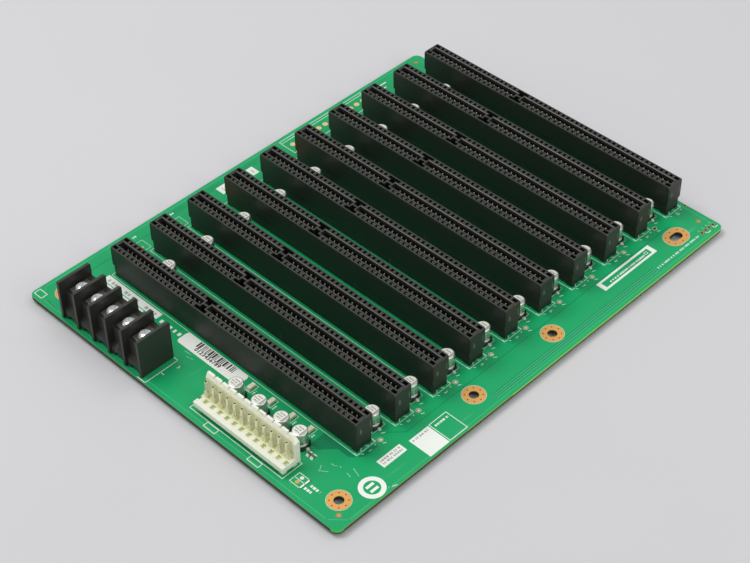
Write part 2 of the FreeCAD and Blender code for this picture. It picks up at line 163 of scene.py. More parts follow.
class Maker:
    """Collects the mesh of one piece, in millimetres from an anchor."""

    def __init__(self, anchor: Vector | None = None, mesh: BMesh | None = None) -> None:
        """Starts an empty mesh, or adds to one, with coordinates measured from an anchor."""
        self.mesh = mesh if mesh is not None else bmesh.new()
        self.anchor = anchor if anchor is not None else Vector((0, 0, 0))

    def vertex(self, x: float, y: float, z: float) -> BMVert:
        """Returns a new vertex."""
        return self.mesh.verts.new((self.anchor + Vector((x, y, z))) * MM)

    def face(self, verts: Sequence[BMVert], finish: int = 0) -> None:
        """Adds a face with a material index."""
        self.mesh.faces.new(verts).material_index = finish

    def loft(self, rings: Sequence[Sequence[Point3]], finish: int = 0, closed: bool = False) -> None:
        """Skins a stack of rings that have the same number of points.

        Args:
            rings: the rings in order.
            finish: material index.
            closed: whether the last ring joins the first instead of being capped.
        """
        rows = [[self.vertex(*p) for p in ring] for ring in rings]
        pairs = list(zip(rows, rows[1:]))
        if closed:
            pairs.append((rows[-1], rows[0]))
        for lower, upper in pairs:
            count = len(lower)
            for i in range(count):
                j = (i + 1) % count
                self.face((lower[i], lower[j], upper[j], upper[i]), finish)
        if not closed:
            self.face(list(reversed(rows[0])), finish)
            self.face(rows[-1], finish)

    def box(self, low: Point3, high: Point3, finish: int = 0) -> None:
        """Adds a box between two corners."""
        corners = [(low[0], low[1]), (high[0], low[1]), (high[0], high[1]), (low[0], high[1])]
        self.prism(corners, low[2], high[2], finish)

    def prism(self, outline: Sequence[Point2], z0: float, z1: float, finish: int = 0) -> None:
        """Adds an upright prism over an anticlockwise outline."""
        self.loft([[(x, y, z0) for x, y in outline], [(x, y, z1) for x, y in outline]], finish)

    def extrusion_x(self, outline: Sequence[Point2], x0: float, x1: float, finish: int = 0) -> None:
        """Adds a prism along X over an outline of (y, z) points, anticlockwise seen from +X."""
        self.loft([[(x0, y, z) for y, z in outline], [(x1, y, z) for y, z in outline]], finish)

    def lathe(self, centre: Point2, profile: Sequence[Point2], segments: int, finish: int = 0) -> None:
        """Adds a solid turned round a centre, over (radius, z) points from the bottom up."""
        rings = [[(x, y, z) for x, y in circle(centre, radius, segments)] for radius, z in profile]
        self.loft(rings, finish)

    def done(self, name: str, finishes: Sequence[Material], slot: Slot,
             replaces: Iterable[str] = (), smooth: float = 0.0) -> Object:
        """Turns the collected mesh into a piece of the part, as place() does."""
        return place(name, self.data(name), finishes, slot, replaces, smooth)

    def data(self, name: str) -> Mesh:
        """Stores the collected mesh under a name, with its normals outwards."""
        bmesh.ops.recalc_face_normals(self.mesh, faces=self.mesh.faces)
        return stored(self.mesh, name)


def in_scene(name: str, data: ID) -> Object:
    """Puts data into the scene.

    Args:
        name: name of the new object.
        data: its mesh, curve, light or camera.

    Returns:
        The new object.
    """
    made = bpy.data.objects.new(name, data)
    bpy.context.scene.collection.objects.link(made)
    return made


def evaluated(holder: Object) -> Mesh:
    """Returns the mesh that an object comes to with its curve settings and modifiers."""
    bpy.context.view_layer.update()
    return bpy.data.meshes.new_from_object(holder.evaluated_get(bpy.context.evaluated_depsgraph_get()))


def joined(mesh: Mesh) -> BMesh:
    """Copies a mesh and joins the vertices that lie together.

    Args:
        mesh: the mesh, which stays as it is.

    Returns:
        The copy.
    """
    work = bmesh.new()
    work.from_mesh(mesh)
    bmesh.ops.remove_doubles(work, verts=work.verts, dist=JOIN_DISTANCE)
    return work


def stored(work: BMesh, name: str) -> Mesh:
    """Turns a mesh under work into a stored one.

    Args:
        work: the mesh under work; it is freed.
        name: name of the stored mesh.

    Returns:
        The stored mesh.
    """
    mesh = bpy.data.meshes.new(name)
    work.to_mesh(mesh)
    work.free()
    return mesh


def place(name: str, data: Mesh, finishes: Sequence[Material], slot: Slot,
          replaces: Iterable[str] = (), smooth: float = 0.0) -> Object:
    """Links a mesh into the scene as a piece that rides on the board.

    Args:
        name: the piece's name.
        data: its mesh.
        finishes: its materials, by index.
        slot: the record's material slot; not used.
        replaces: CAD nodes that it stands for.
        smooth: angle in degrees below which edges are shaded smooth.

    Returns:
        The new object.
    """
    piece = in_scene(name, data)
    if not data.materials:
        for finish in finishes:
            data.materials.append(finish)
    if smooth > 0:
        data.shade_smooth()
        data.set_sharp_from_angle(angle=math.radians(smooth))
    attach(piece, ROOT)
    nodes = list(replaces)
    if nodes:
        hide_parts(*nodes)
    LOG.info("%s: %d faces", name, len(data.polygons))
    return piece


def angles(count: int, start: float = 0.0, sweep: float = 2 * math.pi) -> list[float]:
    """Evenly spaced angles in radians."""
    return [start + sweep * i / count for i in range(count)]


def circle(centre: Point2, radius: float, count: int) -> list[Point2]:
    """Points of a circle, anticlockwise."""
    return [(centre[0] + radius * math.cos(a), centre[1] + radius * math.sin(a)) for a in angles(count)]


def stadium(centre: Point2, radius: float, stretch: float, count: int) -> list[Point2]:
    """Points of a circle stretched along Y.

    Args:
        centre: its middle.
        radius: radius of its ends.
        stretch: how much longer than wide it is.
        count: number of points.

    Returns:
        The points, anticlockwise.
    """
    points = []
    for x, y in circle((0, 0), radius, count):
        shift = stretch / 2 if y > SAME else -stretch / 2
        points.append((centre[0] + x, centre[1] + y + shift))
    return points


def rounded_rectangle(low: Point2, high: Point2, radius: float, steps: int = 6) -> list[Point2]:
    """Points of a rectangle with round corners.

    Args:
        low: its lower left corner.
        high: its upper right corner.
        radius: radius of the corners.
        steps: facets of each corner.

    Returns:
        The points, anticlockwise.
    """
    corners = [(high[0] - radius, low[1] + radius, -90), (high[0] - radius, high[1] - radius, 0),
               (low[0] + radius, high[1] - radius, 90), (low[0] + radius, low[1] + radius, 180)]
    points = []
    for x, y, start in corners:
        for i in range(steps + 1):
            a = math.radians(start + 90 * i / steps)
            points.append((x + radius * math.cos(a), y + radius * math.sin(a)))
    return points


def plate_with_holes(outline: Sequence[Point2], holes: Sequence[Sequence[Point2]],
                     z0: float, z1: float) -> Mesh:
    """A flat plate with holes.

    Args:
        outline: outer edge in millimetres.
        holes: outlines of the holes.
        z0: underside.
        z1: upper side.

    Returns:
        The plate's closed mesh, in metres.
    """
    curve = bpy.data.curves.new("plate", "CURVE")
    curve.dimensions = "2D"
    curve.fill_mode = "BOTH"
    curve.extrude = (z1 - z0) / 2 * MM
    for points in [outline, *holes]:
        spline = curve.splines.new("POLY")
        spline.points.add(len(points) - 1)
        for target, (x, y) in zip(spline.points, points):
            target.co = (x * MM, y * MM, 0, 1)
        spline.use_cyclic_u = True
    holder = in_scene("plate", curve)
    flat = evaluated(holder)
    bpy.data.objects.remove(holder)
    bpy.data.curves.remove(curve)
    flat.transform(Matrix.Translation((0, 0, (z0 + z1) / 2 * MM)))
    work = joined(flat)
    bpy.data.meshes.remove(flat)
    bmesh.ops.recalc_face_normals(work, faces=work.faces)
    return stored(work, "plate")


def soften(piece: Object, width: float) -> None:
    """Rounds the edges of a piece with modifiers.

    Args:
        piece: the piece, or a CAD node's object.
        width: width of the rounding in millimetres.
    """
    piece.modifiers.new("weld", "WELD").merge_threshold = JOIN_DISTANCE
    bevel = piece.modifiers.new("round", "BEVEL")
    bevel.width = width * MM
    bevel.segments = 2
    bevel.limit_method = "ANGLE"
    bevel.angle_limit = math.radians(35)


def dress(node: str, material: Material) -> Object:
    """Gives a CAD node its finish.

    Args:
        node: name of the CAD node.
        material: its new material.

    Returns:
        The node's object.
    """
    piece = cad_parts[node]
    for entry in piece.material_slots:
        entry.material = material
    return piece


# ---------------------------------------------------------------- shader tools

class Graph:
    """A material's nodes, with short calls to add and join them."""

    def __init__(self, tree: NodeTree) -> None:
        """Wraps a node tree."""
        self.tree = tree

    def node(self, kind: str, **settings: object) -> Node:
        """Adds a node.

        Args:
            kind: the node's type name, without its ShaderNode prefix.
            settings: attributes to set on it.

        Returns:
            The new node.
        """
        made = self.tree.nodes.new("ShaderNode" + kind)
        for key, value in settings.items():
            setattr(made, key, value)
        return made

    def join(self, source: object, target: NodeSocket) -> None:
        """Feeds a socket.

        Args:
            source: another socket, or a constant.
            target: the socket to feed.
        """
        if isinstance(source, NodeSocket):
            self.tree.links.new(source, target)
        else:
            target.default_value = source

    def feed(self, node: Node, values: Mapping[int | str, object]) -> None:
        """Feeds a node's inputs with sockets or constants, each by its place or name."""
        for key, value in values.items():
            self.join(value, node.inputs[key])

    def math(self, operation: str, *values: object, kind: str = "Math") -> NodeSocket:
        """Adds a math node.

        Args:
            operation: what it works out.
            values: sockets or constants for its inputs, in order.
            kind: Math, or VectorMath for vectors.

        Returns:
            Its output.
        """
        made = self.node(kind, operation=operation)
        self.feed(made, dict(enumerate(values)))
        return made.outputs[0]

    def split(self, vector: NodeSocket) -> NodeOutputs:
        """Splits a vector.

        Args:
            vector: the vector.

        Returns:
            Its X, Y and Z.
        """
        made = self.node("SeparateXYZ")
        self.join(vector, made.inputs[0])
        return made.outputs

    def mix(self, factor: object, first: object, second: object) -> NodeSocket:
        """Mixes two colours.

        Args:
            factor: share of the second colour.
            first: a socket or an RGBA.
            second: a socket or an RGBA.

        Returns:
            The mixed colour.
        """
        made = self.node("Mix", data_type="RGBA")
        self.feed(made, {0: factor, 6: first, 7: second})
        return made.outputs[2]

    def ramp(self, source: NodeSocket, low: float, high: float,
             to_low: float = 0.0, to_high: float = 1.0) -> NodeSocket:
        """Maps a value's range to another, clamped.

        Args:
            source: the value.
            low: start of its range.
            high: end of its range.
            to_low: start of the new range.
            to_high: end of the new range.

        Returns:
            The mapped value.
        """
        made = self.node("MapRange")
        self.feed(made, {"Value": source, "From Min": low, "From Max": high,
                         "To Min": to_low, "To Max": to_high})
        return made.outputs["Result"]

    def noise(self, scale: object, detail: float = 2.0, roughness: float = 0.5,
              vector: NodeSocket | None = None) -> NodeSocket:
        """Adds noise.

        Args:
            scale: its scale, a socket or a number.
            detail: number of finer layers.
            roughness: strength of the finer layers.
            vector: coordinates to read it at, instead of the object's own.

        Returns:
            Its value.
        """
        if vector is None:
            vector = self.node("TexCoord").outputs["Object"]
        made = self.node("TexNoise")
        self.feed(made, {"Vector": vector, "Scale": scale, "Detail": detail, "Roughness": roughness})
        return made.outputs["Fac"]

    def effect(self, tree: NodeTree, values: Mapping[int | str, object]) -> NodeOutputs:
        """Adds a shared effect.

        Args:
            tree: its group.
            values: its settings.

        Returns:
            What it puts out.
        """
        made = self.node("Group", node_tree=tree)
        self.feed(made, values)
        return made.outputs


def rgba(red: float, green: float, blue: float) -> tuple[float, float, float, float]:
    """An opaque colour."""
    return (red, green, blue, 1.0)


class Effects:
    """Shader groups that several finishes share."""

    def __init__(self) -> None:
        """Builds every group once."""
        self.grain = self._grain()
        self.dust = self._dust()
        self.scratches = self._scratches()
        self.patch = self._patch()

    @staticmethod
    def _new(name: str, inputs: Mapping[str, object], outputs: Sequence[str],
             ) -> tuple[Graph, NodeOutputs, NodeInputs]:
        """Starts a group.

        Args:
            name: the group's name.
            inputs: socket names with their default values, a number or a vector each.
            outputs: names of the output values.

        Returns:
            The group's graph, what it is given and what it puts out.
        """
        tree = bpy.data.node_groups.new(name, "ShaderNodeTree")
        for key, value in inputs.items():
            kind = "NodeSocketFloat" if isinstance(value, float) else "NodeSocketVector"
            tree.interface.new_socket(key, in_out="INPUT", socket_type=kind).default_value = value
        for key in outputs:
            tree.interface.new_socket(key, in_out="OUTPUT", socket_type="NodeSocketFloat")
        return Graph(tree), tree.nodes.new("NodeGroupInput").outputs, tree.nodes.new("NodeGroupOutput").inputs

    def _grain(self) -> NodeTree:
        """Makes the fine moulded or printed grain.

        Returns:
            A group that gives a height and a slow tone.
        """
        graph, given, result = self._new("fine_grain", {"Scale": 4000.0, "Tone Scale": 60.0},
                                         ("Height", "Tone"))
        graph.join(graph.noise(given["Scale"], 3.0, 0.6), result["Height"])
        graph.join(graph.noise(given["Tone Scale"], 3.0, 0.55), result["Tone"])
        return graph.tree

    def _dust(self) -> NodeTree:
        """Makes the dust on faces that look up.

        Returns:
            A group that gives a mask.
        """
        graph, given, result = self._new("settled_dust", {"Amount": 0.3, "Scale": 500.0}, ("Mask",))
        up = graph.ramp(graph.split(graph.node("NewGeometry").outputs["Normal"])["Z"], 0.4, 0.95)
        specks = graph.ramp(graph.noise(given["Scale"], 5.0, 0.7), 0.35, 0.75)
        mask = graph.math("MULTIPLY", up, specks)
        graph.join(graph.math("MULTIPLY", mask, given["Amount"]), result["Mask"])
        return graph.tree

    def _scratches(self) -> NodeTree:
        """Makes short fine scratches in two directions.

        Returns:
            A group that gives a mask.
        """
        graph, given, result = self._new("fine_scratches", {"Amount": 0.3, "Scale": 900.0}, ("Mask",))
        spot = graph.node("TexCoord").outputs["Object"]
        marks = []
        for turn, stretch in ((0.5, 0.05), (-1.1, 0.08)):
            turned = graph.node("Mapping")
            graph.feed(turned, {"Vector": spot, "Rotation": (0.3, 0.2, turn),
                                "Scale": (1.0, stretch, stretch)})
            streak = graph.noise(given["Scale"], 1.0, vector=turned.outputs["Vector"])
            marks.append(graph.ramp(streak, 0.70, 0.76))
        both = graph.math("MAXIMUM", *marks)
        patches = graph.ramp(graph.noise(graph.math("MULTIPLY", given["Scale"], 0.12)), 0.50, 0.62)
        mask = graph.math("MULTIPLY", both, patches)
        graph.join(graph.math("MULTIPLY", mask, given["Amount"]), result["Mask"])
        return graph.tree

    def _patch(self) -> NodeTree:
        """Makes a box in the piece's own coordinates with soft sides.

        Returns:
            A group that gives a mask.
        """
        graph, given, result = self._new(
            "soft_patch", {"Centre": (0.0, 0.0, 0.0), "Half": (0.01, 0.01, 0.01), "Soft": 0.001}, ("Mask",))
        spot = graph.node("TexCoord").outputs["Object"]
        away = graph.math("SUBTRACT", spot, given["Centre"], kind="VectorMath")
        size = graph.math("ABSOLUTE", away, kind="VectorMath")
        inside = graph.split(graph.math("SUBTRACT", given["Half"], size, kind="VectorMath"))
        shares = []
        for axis in "XYZ":
            share = graph.node("Math", operation="DIVIDE", use_clamp=True)
            graph.feed(share, {0: inside[axis], 1: given["Soft"]})
            shares.append(share.outputs[0])
        both = graph.math("MULTIPLY", shares[0], shares[1])
        graph.join(graph.math("MULTIPLY", both, shares[2]), result["Mask"])
        return graph.tree


@dataclass(frozen=True)
class Patch:
    """A part of a piece painted another colour, between two corners in millimetres: real marks, and also
    painted light and shade.
    """
    low: Point3
    high: Point3
    colour: Colour
    soft: float = 0.5
    strength: float = 1.0

    def paint(self, graph: Graph, effects: Effects, colour: NodeSocket) -> NodeSocket:
        """Lays the patch over a colour.

        Args:
            graph: the material's nodes.
            effects: the shared shader groups.
            colour: the colour under the patch.

        Returns:
            The colour with the patch.
        """
        centre = [(a + b) / 2 * MM for a, b in zip(self.low, self.high)]
        half = [(b - a) / 2 * MM for a, b in zip(self.low, self.high)]
        inside = graph.effect(effects.patch, {"Centre": centre, "Half": half, "Soft": self.soft * MM})["Mask"]
        return graph.mix(graph.math("MULTIPLY", inside, self.strength), colour, rgba(*self.colour))


@dataclass(frozen=True)
class Finish:
    """A finish: one colour with slow tone, grain, roughness, scratches and dust of its own."""
    name: str
    colour: Colour
    shade: Colour
    roughness: float = 0.5
    metallic: float = 0.0
    specular: float = 0.5
    grain_scale: float = 4000.0
    grain_depth: float = 0.01
    grain_strength: float = 0.35
    tone_scale: float = 60.0
    uneven: float = 0.12
    scratches: float = 0.0
    scratch_scale: float = 900.0
    scratch_colour: Colour = (0.30, 0.30, 0.27)
    patches: tuple[Patch, ...] = ()
    glow: float = 0.0
    glow_depth: float = 2.4
    glow_colour: Colour = (1.0, 0.95, 0.5)
    dust: float = 0.0
    dust_scale: float = 500.0
    dust_colour: Colour = (0.62, 0.61, 0.57)

    def build(self, effects: Effects) -> Material:
        """Makes the material.

        Args:
            effects: the shared shader groups.

        Returns:
            The new material.
        """
        material = bpy.data.materials.new(self.name)
        material.use_nodes = True
        graph = Graph(material.node_tree)
        grain = graph.effect(effects.grain, {"Scale": self.grain_scale, "Tone Scale": self.tone_scale})
        tone = graph.ramp(grain["Tone"], 0.3, 0.7)
        colour = self.extra(graph, graph.mix(tone, rgba(*self.colour), rgba(*self.shade)))
        for patch in self.patches:
            colour = patch.paint(graph, effects, colour)
        for tree, amount, scale, tint in (
                (effects.scratches, self.scratches, self.scratch_scale, self.scratch_colour),
                (effects.dust, self.dust, self.dust_scale, self.dust_colour)):
            if amount > 0:
                mask = graph.effect(tree, {"Amount": amount, "Scale": scale})["Mask"]
                colour = graph.mix(mask, colour, rgba(*tint))
        bump = graph.node("Bump")
        graph.feed(bump, {"Strength": self.grain_strength, "Distance": self.grain_depth * MM,
                          "Height": grain["Height"]})
        smoothest, roughest = self.roughness * (1 - self.uneven), min(1.0, self.roughness * (1 + self.uneven))
        graph.feed(material.node_tree.nodes["Principled BSDF"], {
            "Base Color": colour,
            "Metallic": self.metallic,
            "Roughness": graph.ramp(grain["Tone"], 0.2, 0.8, smoothest, roughest),
            "Specular IOR Level": self.specular,
            "Subsurface Weight": self.glow,
            "Subsurface Scale": self.glow_depth * MM,
            "Subsurface Radius": self.glow_colour,
            "Normal": bump.outputs["Normal"],
        })
        return material

    def extra(self, graph: Graph, colour: NodeSocket) -> NodeSocket:
        """Returns the colour with any detail that one finish alone has."""
        return colour


@dataclass(frozen=True)
class MaskFinish(Finish):
    """Solder mask, with the board's weave showing faintly through it."""
    roughness: float = 0.34
    specular: float = 0.28
    grain_depth: float = 0.004
    weave_scale: float = 900.0
    weave_share: float = 0.05
    weave_gain: float = 1.3

    def extra(self, graph: Graph, colour: NodeSocket) -> NodeSocket:
        """Adds the weave of the glass cloth.

        Args:
            graph: the material's nodes.
            colour: the mask's colour.

        Returns:
            The colour with the weave.
        """
        checks = graph.node("TexChecker")
        graph.feed(checks, {"Vector": graph.node("TexCoord").outputs["Object"], "Scale": self.weave_scale,
                            "Color1": rgba(0.0, 0.0, 0.0), "Color2": rgba(1.0, 1.0, 1.0)})
        faint = graph.math("MULTIPLY", checks.outputs["Fac"], self.weave_share)
        return graph.mix(faint, colour, rgba(*(min(1.0, c * self.weave_gain) for c in self.colour)))


FINE = {"grain_depth": 0.006}


class Finishes:
    """Every finish of the board, built once."""

    def __init__(self, layout: Layout) -> None:
        """Builds the shared groups and all materials.

        Args:
            layout: shared places, for finishes with patches.
        """
        self._effects = Effects()
        self._board(layout)
        self._prints()
        self._slots()
        self._parts()
        self._power(layout)

    def _make(self, *values: object, **settings: object) -> Material:
        """Builds a finish from its name, colour, shade, roughness and further settings."""
        return Finish(*values, **settings).build(self._effects)

    def _board(self, layout: Layout) -> None:
        """Makes the finishes of the laminate, its mask and its copper.

        Args:
            layout: shared places.
        """
        edge, back, top = layout.high.x, layout.high.y + 1.0, layout.top
        # Painted highlight: the mask is painted lighter and yellower along the +X edge, and over a wider soft
        # band on its back half.
        self.mask = MaskFinish(
            "solder_mask", (0.010, 0.395, 0.140), (0.008, 0.360, 0.126), tone_scale=25.0,
            scratches=0.25, scratch_scale=500.0, scratch_colour=(0.20, 0.55, 0.34),
            patches=tuple(Patch((edge - reach, y, top - 0.3), (edge + reach, 200.0, top + 0.3), *look)
                          for reach, y, look in ((1.0, -200.0, ((0.05, 0.60, 0.10), 1.0, 0.6)),
                                                 (3.0, 0.0, ((0.005, 0.66, 0.11), 2.5, 0.8)))),
        ).build(self._effects)
        self.track, self.bare = (MaskFinish(*look).build(self._effects) for look in (
            ("masked_copper", (0.070, 0.500, 0.235), (0.060, 0.465, 0.215)),
            ("masked_laminate", (0.007, 0.240, 0.100), (0.006, 0.215, 0.090))))
        # Painted highlight: the upper part of the +X edge face is painted lighter and greener, as if lit.
        painted_edge_highlights = [Patch((edge - 3.5, y0, top - depth), (edge + 2.0, y1, top + 1.0), colour, 0.4, strength)
                  for y0, y1, depth, colour, strength in (
                      (-back, back, 0.9, (0.20, 0.26, 0.05), 1.0),
                      (-back - 1.0, 4.5 - back, 1.2, (0.08, 0.55, 0.06), 1.0),
                      (-45.0, back, 0.9, (0.34, 0.56, 0.08), 0.5),
                      (-20.0, back, 1.1, (0.38, 0.66, 0.10), 0.8))]
        # Painted shade: the cut edges are painted nearly black, standing in for the shade under the board,
        # with a lighter brown line painted along their top.
        rim = Patch((-edge - 1.0, -back, top - 0.45), (edge + 1.0, back, top + 1.0), (0.20, 0.17, 0.06), 0.2)
        self.laminate = self._make("laminate_edge", (0.030, 0.030, 0.022), (0.020, 0.020, 0.015), 0.7,
                                   grain_scale=1500.0, grain_depth=0.05, patches=(rim, *painted_edge_highlights))
        self.gold = self._make("gold_plate", (0.80, 0.42, 0.11), (0.74, 0.37, 0.095), 0.42, 0.25, **FINE)
        self.copper = self._make("dull_copper", (0.42, 0.27, 0.10), (0.34, 0.21, 0.07), 0.45, 0.2, **FINE)
        self.pale_gold = self._make("pale_gold", (0.80, 0.60, 0.25), (0.84, 0.70, 0.38), 0.42, 0.2,
                                    tone_scale=1200.0, **FINE)

    def _prints(self) -> None:
        """Makes the finishes of prints, paper and the floor."""
        self.print = self._make("legend_print", (0.88, 0.93, 0.86), (0.83, 0.89, 0.82), 0.55, **FINE)
        self.thin_print = self._make("thin_legend_print", (0.60, 0.86, 0.71), (0.55, 0.82, 0.66), 0.55,
                                     **FINE)
        self.scuff = self._make("mask_scuff", (0.45, 0.78, 0.60), (0.36, 0.70, 0.50), 0.6)
        self.ink = self._make("grey_ink", (0.13, 0.125, 0.105), (0.09, 0.085, 0.07), 0.55)
        self.mark_ink = self._make("mark_ink", (0.24, 0.235, 0.21), (0.30, 0.295, 0.27), 0.55)
        self.faint_ink = self._make("faint_ink", (0.40, 0.40, 0.37), (0.46, 0.46, 0.43), 0.55)
        self.paper = self._make("label_paper", (0.93, 0.94, 0.89), (0.89, 0.90, 0.85), 0.7, **FINE)
        self.dark = self._make("label_ink", (0.03, 0.03, 0.03), (0.05, 0.05, 0.05), 0.6)
        self.floor = self._make("floor_sheet", (0.63, 0.625, 0.645), (0.62, 0.615, 0.635), 0.8,
                                tone_scale=6.0)

    def _slots(self) -> None:
        """Makes the finishes of the card slots. Their patches are in the slot's own coordinates."""
        moulded = {"grain_depth": 0.02, "grain_scale": 3000.0}
        shaded = (0.016, 0.018, 0.015)
        # Painted highlight: the first two patches are light upright streaks on the +X end face. The shaded
        # patches are painted shade on the front face and along the foot.
        self.slot = self._make(
            "slot_plastic", (0.037, 0.040, 0.034), (0.030, 0.033, 0.028), 0.46, specular=0.30,
            dust=0.04, scratches=0.12,
            patches=(Patch((69.0, -2.4, 8.5), (69.9, -1.2, 11.2), (0.19, 0.20, 0.18), 0.5),
                     Patch((69.0, 2.9, 8.6), (69.9, 3.5, 12.2), (0.20, 0.21, 0.19), 0.35),
                     Patch((-75.0, -4.8, -1.0), (75.0, -3.4, 14.8), shaded, 0.3, 0.75),
                     Patch((-75.0, -5.0, -1.0), (75.0, 5.0, 3.2), shaded, 0.9)), **moulded)
        # Painted highlight: the rounded edges and card-slot lips get a lighter plastic colour, standing in
        # for the light they catch.
        self.rim = self._make("slot_rim", (0.110, 0.115, 0.100), (0.080, 0.085, 0.072), 0.42, **moulded)
        # Painted shade: the faces inside the moulding are painted darker than its outside.
        self.hollow = self._make("slot_hollow", (0.012, 0.013, 0.011), (0.009, 0.010, 0.008), 0.6,
                                 specular=0.2, grain_depth=0.02)
        self.contact = self._make("contact_plate", (0.40, 0.40, 0.34), (0.33, 0.33, 0.28), 0.34, 0.35,
                                  grain_depth=0.003)

    def _parts(self) -> None:
        """Makes the finishes of the capacitors, the chips and their solder."""
        self.solder = self._make("solder", (0.93, 0.93, 0.89), (0.86, 0.86, 0.82), 0.28, 0.15, **FINE)
        self.cream = self._make("cream_solder", (0.90, 0.86, 0.60), (0.84, 0.79, 0.52), 0.35, 0.1, **FINE)
        self.can = self._make("drawn_aluminium", (0.74, 0.76, 0.71), (0.68, 0.70, 0.65), 0.28, 0.85, **FINE)
        self.can_top = self._make("can_top", (0.88, 0.89, 0.81), (0.80, 0.81, 0.73), 0.5, 0.1, scratches=0.3)
        self.base = self._make("base_plastic", (0.016, 0.017, 0.016), (0.012, 0.013, 0.012))
        self.chip = self._make("chip_ceramic", (0.84, 0.80, 0.52), (0.76, 0.71, 0.44), 0.45)
        self.resistor = self._make("resistor_film", (0.10, 0.085, 0.055), (0.14, 0.12, 0.08), 0.45, **FINE)

    def _power(self, layout: Layout) -> None:
        """Makes the finishes of the power inputs.

        Args:
            layout: shared places.
        """
        low, high = box_mm("power_header_pins")
        # Painted reflection: the top of each pin is painted nearly black where its chamfered tip reflects the
        # dark surroundings.
        tips = Patch((low.x - 2, low.y - 2, high.z - 0.22), (high.x + 2, high.y + 2, high.z + 1.0),
                     (0.03, 0.027, 0.02), 0.15)
        self.pin = self._make("bright_pin", (0.82, 0.83, 0.62), (0.76, 0.77, 0.55), 0.16, 0.5,
                              grain_depth=0.002, patches=(tips,))
        low, high = box_mm("power_header_body")
        # Painted shade: the inside in front of the back wall and the pockets in the front ledge are painted
        # darker and yellower.
        wall = high.y - 1.4
        shaded_inside = Patch((low.x - 1, wall - 4.4, low.z + 1.5), (high.x - 0.6, wall + 0.1, high.z - 0.9),
                     (0.84, 0.84, 0.50), 1.0, 0.9)
        shaded_pockets = Patch((low.x, low.y + 1.9, 6.2), (high.x - 1.5, low.y + 4.5, 7.62), (0.80, 0.83, 0.56), 0.1)
        self.header = self._make("header_nylon", (0.90, 0.92, 0.78), (0.85, 0.87, 0.72), 0.40,
                                 grain_depth=0.008, glow=0.45, patches=(shaded_inside, shaded_pockets))
        fin = Vector((box_mm("terminal_block_body")[1].x, layout.datum.y, layout.datum.z))
        half = Vector((0.5, 0.25, 0.1))
        nicks = [fin + Vector((0.0, y, z)) for y, z in ((-25.1, 13.2), (-24.3, 12.7), (-22.7, 12.6),
                                                        (-24.1, 11.6), (-20.9, 10.0), (-31.4, 2.7))]
        self.block = self._make("block_plastic", (0.030, 0.031, 0.025), (0.022, 0.023, 0.019), 0.44,
                                specular=0.4, grain_depth=0.012, dust=0.03, scratches=0.5,
                                scratch_scale=700.0, scratch_colour=(0.14, 0.14, 0.12),
                                patches=tuple(Patch(tuple(spot - half), tuple(spot + half),
                                                    (0.30, 0.30, 0.26), 0.25) for spot in nicks))
        self.nickel = self._make("nickel_plate", (0.22, 0.22, 0.19), (0.16, 0.16, 0.14), 0.34, 0.8,
                                 grain_depth=0.004)
        self.zinc = self._make("zinc_plate", (0.90, 0.94, 0.94), (0.80, 0.84, 0.84), 0.22, 0.5,
                               scratches=0.4, **FINE)


# ---------------------------------------------------------------- card slots

